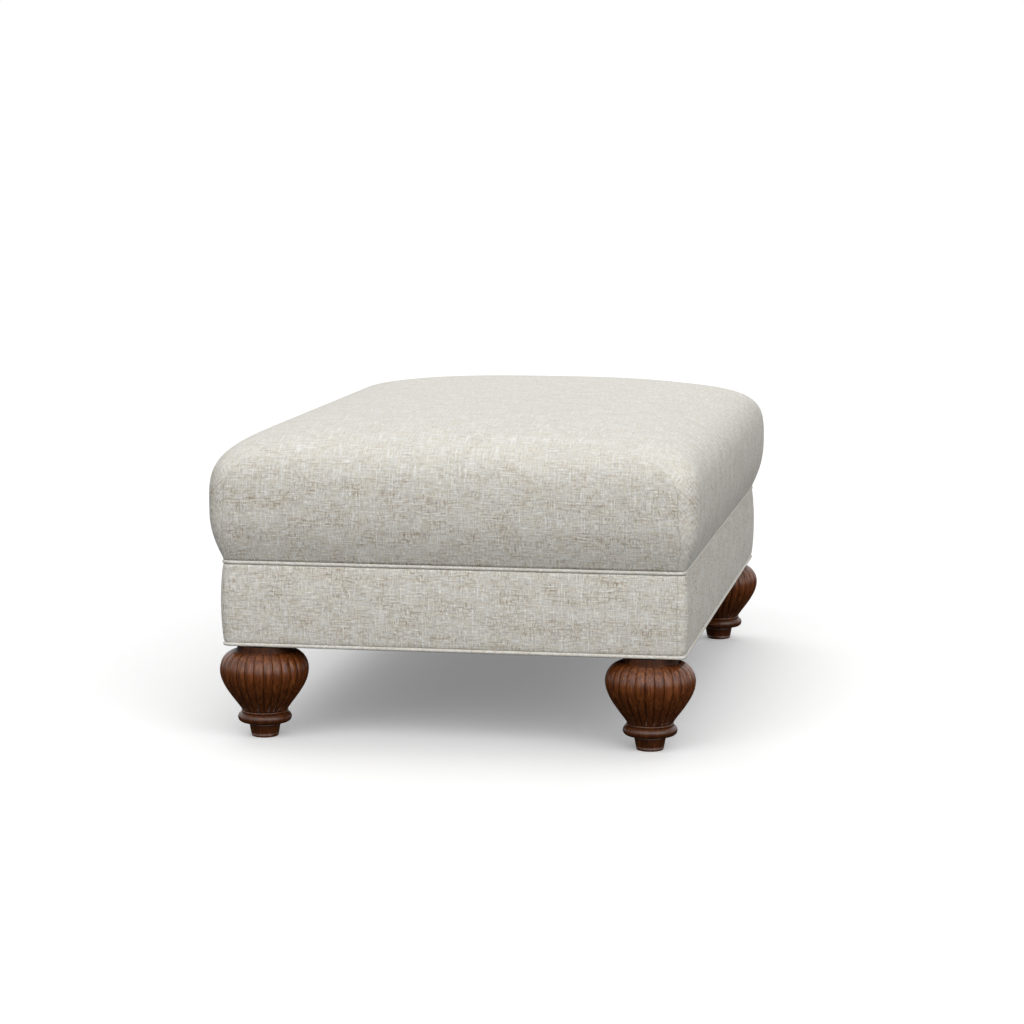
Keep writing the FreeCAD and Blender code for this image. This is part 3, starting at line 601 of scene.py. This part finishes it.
def close_base(piece):
    """Fill the flat underside of a block."""
    bpy.context.view_layer.objects.active = piece
    piece.select_set(True)
    bpy.ops.object.mode_set(mode="EDIT")
    bpy.ops.mesh.select_all(action="SELECT")
    bpy.ops.mesh.region_to_loop()
    bpy.ops.mesh.edge_face_add()
    bpy.ops.object.mode_set(mode="OBJECT")
    piece.select_set(False)


foam_depth = COVER_THICKNESS + WRAP_THICKNESS + 3 * CLOTH_GAP
points, maps = seat_grid(foam_depth, FOAM_COLUMNS)
foam = quad_mesh("foam_block", points, maps)
close_base(foam)
fit_out(foam, "seat_foam",
        open_cells("cut_polyurethane_foam", FOAM_LIGHT, FOAM_DARK, FOAM_CELL, FOAM_ROUGHNESS))


# Fibre wrap: a loose sheet of polyester wadding round the foam, which softens its
# edges. It is white and fluffy, with long soft clumps.
WADDING_LIGHT = "f1f1ee"
WADDING_DARK = "d3d4d2"
WADDING_ROUGHNESS = 1.0
FIBRE_SIZE = 0.0012
CLUMP_SIZE = 0.03
CLUMP_HEIGHT = 0.0012
WRAP_GIVE = 0.005
WRAP_COLUMNS = 60


def clumps(piece, size, height):
    """Soft uneven lumps in a filling."""
    pattern = bpy.data.textures.new("wadding_clumps", "CLOUDS")
    pattern.noise_scale = size
    lumps = piece.modifiers.new("clumps", "DISPLACE")
    lumps.texture = pattern
    lumps.strength = height
    lumps.mid_level = 1
    lumps.texture_coords = "GLOBAL"


wadding_finish = open_cells("polyester_wadding_fibre", WADDING_LIGHT, WADDING_DARK, FIBRE_SIZE,
                            WADDING_ROUGHNESS)
points, maps = seat_grid(COVER_THICKNESS + WRAP_GIVE, WRAP_COLUMNS)
wrap = quad_mesh("wadding_wrap", points, maps)
clumps(wrap, CLUMP_SIZE, CLUMP_HEIGHT)
thicken(wrap, WRAP_THICKNESS - WRAP_GIVE - CLUMP_HEIGHT)
fit_out(wrap, "fibre_wrap", wadding_finish)


# Seat cover: one panel of linen-look cloth over the top and down the sides, with a
# darted corner cut on the bias at each corner. It is pulled tight over the filling,
# which swells it between the seams, and is sewn to the upper welt.
COVER_COLUMNS = 132
SIDE_FULLNESS = 0.002
FULL_TRAVEL = 0.19
SWELL_FRAMES = 12
SWELL_PRESSURE = 25
SWELL_HOLD = 0.6
SWELL_TAKE_UP = 0.015
SWELL_LIMIT = 0.004
SMALLEST_MOVE = 1e-9
CLOTH_QUALITY = 5
CLOTH_STRETCH = 15
CLOTH_SHEAR = 5
CLOTH_BEND = 0.5
DART_TOP = 0.150
DART_FADE = 0.060
DART_SCATTER = 0.003
LINEN_GROUND = "e2e0da"
LINEN_WARM = "e4dfd2"
LINEN_LIGHT = "fbfaf6"
LINEN_TAN = "a6906f"
LINEN_BROWN = "7b5f41"
SEAM_SHADE = "85806f"
LINEN_ROUGHNESS = 0.92
LINEN_SHINE = 0.2
LINEN_SHEEN = 0.25
SHEEN_ROUGHNESS = 0.5
LINEN_BUMP = 0.0005
LINEN_RELIEF = 0.5
# Patches where the brown and tan threads gather: their size, the noise levels between
# which they thicken, and the share of those threads outside and inside them.
PATCH_WIDTH = 0.022
PATCH_LENGTH = 0.045
PATCH_START = 0.35
PATCH_FULL = 0.65
THREADS_OUTSIDE = 0.25
THREADS_INSIDE = 1.10
SEAM_LINE = 0.0014
SEAM_DEPTH = 0.22
SEAM_FADE = 0.04
# The crown starts and ends this far below the top of the seat.
CROWN_START = 0.09
CROWN_END = 0.03
# How far the crown's painted highlight thins the dark threads and calms the weave.
CROWN_PAINTED_HIGHLIGHT = 0.55
CROWN_TONE = 0.96
FINE_START = 0.40
FINE_FULL = 0.72
FINE_DARK = 0.80
FINE_LIGHT = 1.14
SLUB_HEIGHT = 0.4
LAYER_SHIFT = 7.0
# Each layer of threads is (width, length across, length up, the noise at which it starts
# to show, and the noise at which it shows in full).
THREADS = {"warm": (0.0050, 0.0430, 0.0250, 0.42, 0.62),
           "light": (0.0022, 0.0180, 0.0320, 0.50, 0.72),
           "tan": (0.0022, 0.0160, 0.0090, 0.50, 0.78),
           "brown": (0.0015, 0.0095, 0.0055, 0.60, 0.80),
           "fine": (0.0014, 0.0097, 0.0057, 0.0, 1.0)}


def linen(name, darted=False, seamed=False, evenness=0.0):
    """A slubby plain weave of flax and cotton.

    Real yarns are too fine to show from across a room, so the weave is drawn with thicker
    streaks and slubs both ways: light ones that catch the eye, and tan and brown ones
    between them, gathered in loose patches. On the crown they are drawn fewer and calmer, a
    painted highlight that makes the lit top paler and more even. The finest hairs make a
    slight sheen at glancing angles.
    """
    material, tree, surface = new_finish(name, LINEN_ROUGHNESS)
    surface.inputs["Specular IOR Level"].default_value = LINEN_SHINE
    surface.inputs["Sheen Weight"].default_value = LINEN_SHEEN
    surface.inputs["Sheen Roughness"].default_value = SHEEN_ROUGHNESS
    place = add(tree, "ShaderNodeUVMap", {}, uv_map="cloth").outputs[0]
    seam = add(tree, "ShaderNodeUVMap", {}, uv_map="seam")
    parts = add(tree, "ShaderNodeSeparateXYZ", {"Vector": seam.outputs[0]})
    past, travel = parts.outputs["X"], parts.outputs["Y"]
    if darted:
        # Inside a dart the weave lies on the bias, up to a ragged upper end.
        scatter = add(tree, "ShaderNodeTexNoise", {"Vector": place, "Scale": 1 / DART_SCATTER,
                                                   "Detail": 0.0})
        rise = add(tree, "ShaderNodeMath", {0: scatter.outputs["Fac"], 1: DART_FADE, 2: travel},
                   operation="MULTIPLY_ADD")
        under = add(tree, "ShaderNodeMath", {0: rise.outputs[0], 1: DART_TOP + DART_FADE / 2},
                    operation="LESS_THAN")
        inside = add(tree, "ShaderNodeMath", {0: past, 1: 0.0}, operation="GREATER_THAN")
        dart = add(tree, "ShaderNodeMath", {0: inside.outputs[0], 1: under.outputs[0]},
                   operation="MULTIPLY")
        bias = add(tree, "ShaderNodeUVMap", {}, uv_map="bias")
        turned = add(tree, "ShaderNodeMix", {0: dart.outputs[0], 4: place, 5: bias.outputs[0]},
                     data_type="VECTOR")
        place = turned.outputs[1]

    threads = {}
    for number, (layer, (width, across, up, low, high)) in enumerate(THREADS.items()):
        ways = []
        for size in ((across, width, 1), (width, up, 1)):
            yarn = streaks(tree, place, size, SMOOTH, shift=LAYER_SHIFT * number)
            shown = add(tree, "ShaderNodeMapRange", {"Value": yarn, "From Min": low,
                                                     "From Max": high})
            ways.append(shown.outputs[0])
        both = add(tree, "ShaderNodeMath", {0: ways[0], 1: ways[1]}, operation="MAXIMUM")
        threads[layer] = both.outputs[0]

    spot = add(tree, "ShaderNodeTexCoord", {})
    level = add(tree, "ShaderNodeSeparateXYZ", {"Vector": spot.outputs["Object"]})
    # Painted highlight: up on the crown the dark threads thin out and the weave calms, so the lit
    # top reads paler and more even.
    crown = add(tree, "ShaderNodeMapRange", {"Value": level.outputs["Z"],
                                             "From Min": seat_high.z - CROWN_START,
                                             "From Max": seat_high.z - CROWN_END,
                                             "To Min": evenness, "To Max": CROWN_PAINTED_HIGHLIGHT})
    plain = add(tree, "ShaderNodeMath", {0: 1.0, 1: crown.outputs[0]}, operation="SUBTRACT")
    patches = streaks(tree, place, (PATCH_LENGTH, PATCH_WIDTH, 1), ROUGH)
    gathered = add(tree, "ShaderNodeMapRange", {"Value": patches, "From Min": PATCH_START,
                                                "From Max": PATCH_FULL, "To Min": THREADS_OUTSIDE,
                                                "To Max": THREADS_INSIDE})
    dense = add(tree, "ShaderNodeMath", {0: gathered.outputs[0], 1: plain.outputs[0]},
                operation="MULTIPLY")
    body = colour(LINEN_GROUND)
    for layer, code, strength in (("warm", LINEN_WARM, 1.0), ("light", LINEN_LIGHT, 1.0),
                                  ("tan", LINEN_TAN, dense.outputs[0]),
                                  ("brown", LINEN_BROWN, dense.outputs[0])):
        mask = add(tree, "ShaderNodeMath", {0: threads[layer], 1: strength}, operation="MULTIPLY")
        mixed = add(tree, "ShaderNodeMix", {0: mask.outputs[0], 6: body, 7: colour(code)},
                    data_type="RGBA")
        body = mixed.outputs[2]
    tone = add(tree, "ShaderNodeMapRange", {"Value": threads["fine"], "From Min": FINE_START,
                                            "From Max": FINE_FULL, "To Min": FINE_DARK,
                                            "To Max": FINE_LIGHT})
    even = add(tree, "ShaderNodeMix", {0: crown.outputs[0], 2: tone.outputs[0], 3: CROWN_TONE},
               data_type="FLOAT")
    toned = add(tree, "ShaderNodeVectorMath", {0: body, 1: even.outputs[0]}, operation="MULTIPLY")
    body = toned.outputs[0]
    raised = add(tree, "ShaderNodeMath", {0: threads["light"], 1: SLUB_HEIGHT, 2: threads["fine"]},
                 operation="MULTIPLY_ADD")
    height = raised.outputs[0]
    if seamed:
        # A seam is a fine dark line that sinks into the cloth and fades out towards its top.
        away = add(tree, "ShaderNodeMath", {0: past}, operation="ABSOLUTE")
        line = add(tree, "ShaderNodeMapRange", {"Value": away.outputs[0], "From Min": SEAM_LINE,
                                                "From Max": SEAM_LINE / 4})
        fade = add(tree, "ShaderNodeMapRange", {"Value": travel, "From Min": DART_TOP,
                                                "From Max": DART_TOP - SEAM_FADE,
                                                "To Max": SEAM_DEPTH})
        sewn = add(tree, "ShaderNodeMath", {0: line.outputs[0], 1: fade.outputs[0]},
                   operation="MULTIPLY")
        shaded = add(tree, "ShaderNodeMix",
                     {0: sewn.outputs[0], 6: body, 7: colour(SEAM_SHADE)}, data_type="RGBA")
        body = shaded.outputs[2]
        sunk = add(tree, "ShaderNodeMath", {0: sewn.outputs[0], 1: -1.0, 2: height},
                   operation="MULTIPLY_ADD")
        height = sunk.outputs[0]
    lay_on(tree, surface, body, height, LINEN_BUMP, LINEN_RELIEF)
    return material


def swell(piece, edge, pressure, frames, limit):
    """Press the filling out against a sewn cover, moving no point past a limit.

    The filling holds every point of the cloth softly, and the seam holds its edge hard.
    """
    before = np.zeros(len(piece.data.vertices) * 3, np.float32)
    piece.data.vertices.foreach_get("co", before)
    held = piece.vertex_groups.new(name="held")
    held.add(list(range(len(piece.data.vertices))), SWELL_HOLD, "REPLACE")
    held.add(edge, 1, "REPLACE")
    cloth = piece.modifiers.new("swell", "CLOTH")
    cloth.settings.quality = CLOTH_QUALITY
    cloth.settings.tension_stiffness = CLOTH_STRETCH
    cloth.settings.compression_stiffness = CLOTH_STRETCH
    cloth.settings.shear_stiffness = CLOTH_SHEAR
    cloth.settings.bending_stiffness = CLOTH_BEND
    cloth.settings.shrink_min = SWELL_TAKE_UP
    cloth.settings.vertex_group_mass = "held"
    cloth.settings.use_pressure = True
    cloth.settings.uniform_pressure_force = pressure
    cloth.settings.effector_weights.gravity = 0
    cloth.point_cache.frame_end = frames
    for number in range(1, frames + 1):
        scene.frame_set(number)
    simulated = piece.evaluated_get(bpy.context.evaluated_depsgraph_get())
    after = np.zeros_like(before)
    simulated.data.vertices.foreach_get("co", after)
    piece.modifiers.remove(cloth)
    piece.vertex_groups.remove(held)
    move = (after - before).reshape(-1, 3)
    length = np.maximum(np.linalg.norm(move, axis=1, keepdims=True), SMALLEST_MOVE)
    kept = before.reshape(-1, 3) + move * limit * np.tanh(length / limit) / length
    piece.data.vertices.foreach_set("co", kept.astype(np.float32).ravel())
    piece.data.update()
    scene.frame_set(1)


points, maps = seat_grid(0, COVER_COLUMNS)
fuller = seat_grid(-SIDE_FULLNESS, COVER_COLUMNS)[0]
share = np.sin(math.pi * np.clip(maps["seam"][..., 1:] / FULL_TRAVEL, 0, 1))
cover = quad_mesh("seat_cover", points + (fuller - points) * share, maps)
on_edge = np.zeros(points.shape[:2], bool)
on_edge[[0, -1], :] = True
on_edge[:, [0, -1]] = True
seam_points = np.flatnonzero(on_edge.ravel()).tolist()
swell(cover, seam_points, SWELL_PRESSURE, SWELL_FRAMES, SWELL_LIMIT)
smooth = cover.modifiers.new("smooth", "SUBSURF")
smooth.levels = smooth.render_levels = 1
thicken(cover, COVER_THICKNESS)
fit_out(cover, "cushion_cover",
        linen("linen_slub_weave_darted", darted=True, seamed=True))


# Welts: a cotton cord in a bias-cut strip of the same cloth, whose weave runs round the
# cord at a slant. The strip is sewn shut, with its seam allowance behind the band: up from
# the lower welt and down from the upper one.
WELT_RADIUS = 0.0025
WELT_CORD_RADIUS = 0.0015
WELT_PROUD = 0.0012
WELT_LIP_HEIGHT = 0.014
WELT_LIP_THICKNESS = 0.0012
WELT_ROUND_POINTS = 20
WELT_EVENNESS = 0.6
CORD_ROUND_POINTS = 14
WALL_STEP = 0.005
CORNER_STEPS = 9
BAND_WADDING_THICKNESS = 0.003
COTTON_LIGHT = "ece7db"
COTTON_DARK = "bdb5a2"
COTTON_ROUGHNESS = 0.95
CORD_TWIST = 0.004


def wall_path():
    """Points once round the band's face, closer together in the corners.

    They come as places, directions outward, the travel along the wall, and the distance
    past the nearest corner seam. The seams are drawn on the short sides, so the long ones
    hold a metre more.
    """
    half_x, half_y = band_half.x, band_half.y
    radius = BAND_CORNER_RADIUS
    places, ways, travels, pasts = [], [], [], []
    travel = 0
    for side, half, reach in (("front", half_x, half_y), ("right", half_y, half_x),
                              ("rear", half_x, half_y), ("left", half_y, half_x)):
        straight = half - radius
        count = round(2 * straight / WALL_STEP)
        marks = np.concatenate([
            np.linspace(-straight, straight, count, endpoint=False),
            straight + radius * np.linspace(0, math.pi / 2, CORNER_STEPS, endpoint=False)])
        for mark in marks:
            turn = max(mark - straight, 0) / radius
            along = min(mark, straight) + radius * math.sin(turn)
            outward = reach - radius + radius * math.cos(turn)
            places.append(turned_to_side(side, along, outward))
            ways.append(turned_to_side(side, math.sin(turn), math.cos(turn)))
            travels.append(travel + mark + straight)
            past = min(abs(mark - straight), abs(mark + straight))
            pasts.append(past + 1 if side in ("left", "right") else past)
        travel += 2 * straight + radius * math.pi / 2
    travels.append(travel)
    pasts.append(pasts[0])
    return np.array(places), np.array(ways), np.array(travels), np.array(pasts)


def swept(name, section, slant=False, wrap_rows=True):
    """A cross-section of (outward, height) points carried once round the stool."""
    places, ways, travels, pasts = wall_path()
    section = np.array(section)
    outward, height = section[:, None, 0], section[:, None, 1]
    x = places[None, :, 0] + ways[None, :, 0] * outward
    y = places[None, :, 1] + ways[None, :, 1] * outward
    points = np.stack([x, y, np.broadcast_to(height, x.shape)], -1)
    closed = np.concatenate([section, section[:1]]) if wrap_rows else section
    round_it = np.concatenate([[0], np.cumsum(np.linalg.norm(np.diff(closed, axis=0), axis=1))])
    v, u = np.meshgrid(round_it, travels, indexing="ij")
    cloth = np.stack([(u + v) / math.sqrt(2), (v - u) / math.sqrt(2)] if slant else [u, v], -1)
    seam = np.stack([np.broadcast_to(pasts, v.shape), v], -1)
    maps = {"cloth": cloth, "seam": seam}
    return quad_mesh(name, points, maps, wrap_rows=wrap_rows, wrap_columns=True)


def welt_section(middle, lip_end):
    """The sleeve round its cord, with the two layers of its lip running to one end."""
    centre_out = WELT_PROUD - WELT_RADIUS
    lip_inner = -band_layers + CLOTH_GAP
    lip_outer = lip_inner + WELT_LIP_THICKNESS
    rise = math.copysign(1, lip_end - middle)
    start = math.acos((lip_outer - centre_out) / WELT_RADIUS)
    section = [(lip_inner, lip_end), (lip_outer, lip_end)]
    for turn in np.linspace(start, -start, WELT_ROUND_POINTS):
        section.append((centre_out + WELT_RADIUS * math.cos(turn),
                        middle + rise * WELT_RADIUS * math.sin(turn)))
    section.append((lip_inner, section[-1][1]))
    return section[::-1] if rise > 0 else section


def cord_section(middle):
    """The round cord inside a welt."""
    centre_out = WELT_PROUD - WELT_RADIUS
    turns = np.linspace(0, 2 * math.pi, CORD_ROUND_POINTS, endpoint=False)
    return [(centre_out + WELT_CORD_RADIUS * math.cos(turn),
             middle + WELT_CORD_RADIUS * math.sin(turn)) for turn in turns]


band_layers = COVER_THICKNESS + BAND_WADDING_THICKNESS + 2 * CLOTH_GAP
welt_linen = linen("linen_slub_weave_bias", evenness=WELT_EVENNESS)
cotton = plain_weave("twisted_cotton_cord", COTTON_LIGHT, COTTON_DARK, CORD_TWIST,
                     COTTON_ROUGHNESS)
for name, lip_way in (("bottom_welt", 1), ("top_welt", -1)):
    low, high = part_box(name)
    middle = low.z + WELT_RADIUS if lip_way > 0 else high.z - WELT_RADIUS
    section = welt_section(middle, middle + lip_way * WELT_LIP_HEIGHT)
    welt = swept(name + "_sleeve", section, slant=True)
    fit_out(welt, name, welt_linen)
    cord = swept(name + "_filler", cord_section(middle), slant=True)
    fit_out(cord, name + "_cord", cotton)


# Band wadding: a thin strip of the same wadding between the boards and the band, fuller
# along its middle.
WADDING_INSET = COVER_THICKNESS + CLOTH_GAP
BAND_FULLNESS = 0.0035
BAND_SQUARENESS = 2.2
BAND_PAD_ROWS = 16


def band_fullness(height):
    """How far the padding swells the band at a height, from nothing at the two seams."""
    low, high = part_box("band_cover")
    share = 2 * (height - low.z) / (high.z - low.z) - 1
    return BAND_FULLNESS * (1 - abs(share) ** BAND_SQUARENESS)


low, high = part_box("band_wadding")
steps = np.linspace(low.z, high.z, BAND_PAD_ROWS)
section = [(band_fullness(z) - WADDING_INSET, z) for z in steps]
section += [(-WADDING_INSET - BAND_WADDING_THICKNESS, z) for z in steps[::-1]]
band_pad = swept("band_padding", section)
fit_out(band_pad, "band_wadding", wadding_finish)


# Band: a straight strip of the linen-look cloth, seamed at each corner and sewn to both
# welts. The seams draw its edges in, and the wadding fills it between them, so that its
# upper half looks up a little and its lower half down.
BAND_EDGE_TURN = 0.0025
BAND_EDGE_DEPTH = 0.0012
BAND_ROWS = 22

low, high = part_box("band_cover")
section = []
for share in np.linspace(0, 1, BAND_ROWS):
    z = low.z + (0.5 - 0.5 * math.cos(math.pi * share)) * (high.z - low.z)
    from_edge = min(z - low.z, high.z - z)
    drawn = BAND_EDGE_DEPTH * max(1 - from_edge / BAND_EDGE_TURN, 0) ** 2
    section.append((band_fullness(z) - drawn, z))
band = swept("band_panels", section, wrap_rows=False)
thicken(band, COVER_THICKNESS)
fit_out(band, "band_cover", linen("linen_slub_weave_straight", seamed=True))


# Dust cover: black cambric tacked under the boards with wire staples. It is a thin
# dull cloth, pulled tight, that hangs down a little in the middle, and it is slit for the
# bolts of the feet.
CAMBRIC_LIGHT = "2a2a2b"
CAMBRIC_DARK = "101011"
CAMBRIC_ROUGHNESS = 0.85
CAMBRIC_YARN = 0.0015
CAMBRIC_SAG = 0.003
RAIL_THICKNESS = 0.018

dust_low, dust_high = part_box("dust_cover")
dust_size = dust_high - dust_low
points, cloth = flat_grid(dust_low, dust_high, SHEET_STEP, dust_high.z)
inner = dust_high - Vector((RAIL_THICKNESS, RAIL_THICKNESS, 0))
belly = [np.clip(1 - (points[..., axis] / inner[axis]) ** 2, 0, 1) for axis in (0, 1)]
points[..., 2] -= CAMBRIC_SAG * belly[0] * belly[1]
dust = quad_mesh("cambric_dust_cover", points, {"cloth": cloth})
cut = bmesh.new()
cut.from_mesh(dust.data)
bolts = [Vector((x * foot_centre.x, y * foot_centre.y, dust_high.z))
         for x in (-1, 1) for y in (-1, 1)]
slits = [face for face in cut.faces
         if min((face.calc_center_median() - bolt).length for bolt in bolts) < SHEET_STEP]
bmesh.ops.delete(cut, geom=slits, context="FACES")
cut.to_mesh(dust.data)
cut.free()
thicken(dust, dust_size.z)
fit_out(dust, "dust_cover",
        plain_weave("black_cambric_weave", CAMBRIC_LIGHT, CAMBRIC_DARK, CAMBRIC_YARN,
                    CAMBRIC_ROUGHNESS))


# Studio: a white floor that runs to the horizon, an even sky that shows white behind the
# stool, and three broad soft lamps as far away as the sun: one high behind it, and two lower
# ones beside the camera. The floor throws little light up, and glows a little to the camera.
FLOOR_HALF = 60
FLOOR_GLOW = 0.19
FLOOR_BOUNCE = "303030"
SKY_LEVEL = 0.35
LAMP_SPREAD = 60
# Each lamp has the way in which its light goes, and its power.
LAMPS = {"behind": ((0.10, -0.60, -1.00), 0.85),
         "left": ((0.25, 0.90, -0.60), 1.05),
         "right": ((-0.75, 0.70, -0.45), 1.30)}

floor_mesh = bpy.data.meshes.new("floor")
floor_corners = [(x * FLOOR_HALF, y * FLOOR_HALF, 0)
                 for x, y in ((-1, -1), (1, -1), (1, 1), (-1, 1))]
floor_mesh.from_pydata(floor_corners, [], [(0, 1, 2, 3)])
floor = bpy.data.objects.new("floor", floor_mesh)
scene.collection.objects.link(floor)
material = bpy.data.materials.new("studio_floor")
material.use_nodes = True
tree = material.node_tree
tree.nodes.remove(tree.nodes["Principled BSDF"])
path = add(tree, "ShaderNodeLightPath", {})
seen = add(tree, "ShaderNodeMix",
           {0: path.outputs["Is Camera Ray"], 6: colour(FLOOR_BOUNCE), 7: (1, 1, 1, 1)},
           data_type="RGBA")
matt = add(tree, "ShaderNodeBsdfDiffuse", {"Color": seen.outputs[2]})
glow = add(tree, "ShaderNodeMath", {0: path.outputs["Is Camera Ray"], 1: FLOOR_GLOW},
           operation="MULTIPLY")
lit = add(tree, "ShaderNodeEmission", {"Strength": glow.outputs[0]})
floor_shader = add(tree, "ShaderNodeAddShader", {0: matt.outputs[0], 1: lit.outputs[0]})
tree.links.new(floor_shader.outputs[0], tree.nodes["Material Output"].inputs["Surface"])
floor_mesh.materials.append(material)

world = bpy.data.worlds.new("sky")
scene.world = world
world.use_nodes = True
tree = world.node_tree
path = add(tree, "ShaderNodeLightPath", {})
shown = add(tree, "ShaderNodeMath",
            {0: path.outputs["Is Camera Ray"], 1: path.outputs["Is Glossy Ray"]},
            operation="MAXIMUM")
level = add(tree, "ShaderNodeMapRange", {"Value": shown.outputs[0], "To Min": SKY_LEVEL,
                                         "To Max": 1.0})
tree.nodes["Background"].inputs["Color"].default_value = (1, 1, 1, 1)
tree.links.new(level.outputs[0], tree.nodes["Background"].inputs["Strength"])

for name, (way, power) in LAMPS.items():
    lamp = bpy.data.lights.new(name, "SUN")
    lamp.angle = math.radians(LAMP_SPREAD)
    lamp.energy = power
    light = bpy.data.objects.new(name, lamp)
    light.rotation_euler = Vector(way).to_track_quat("-Z", "Y").to_euler()
    scene.collection.objects.link(light)
scene.view_settings.view_transform = "Standard"
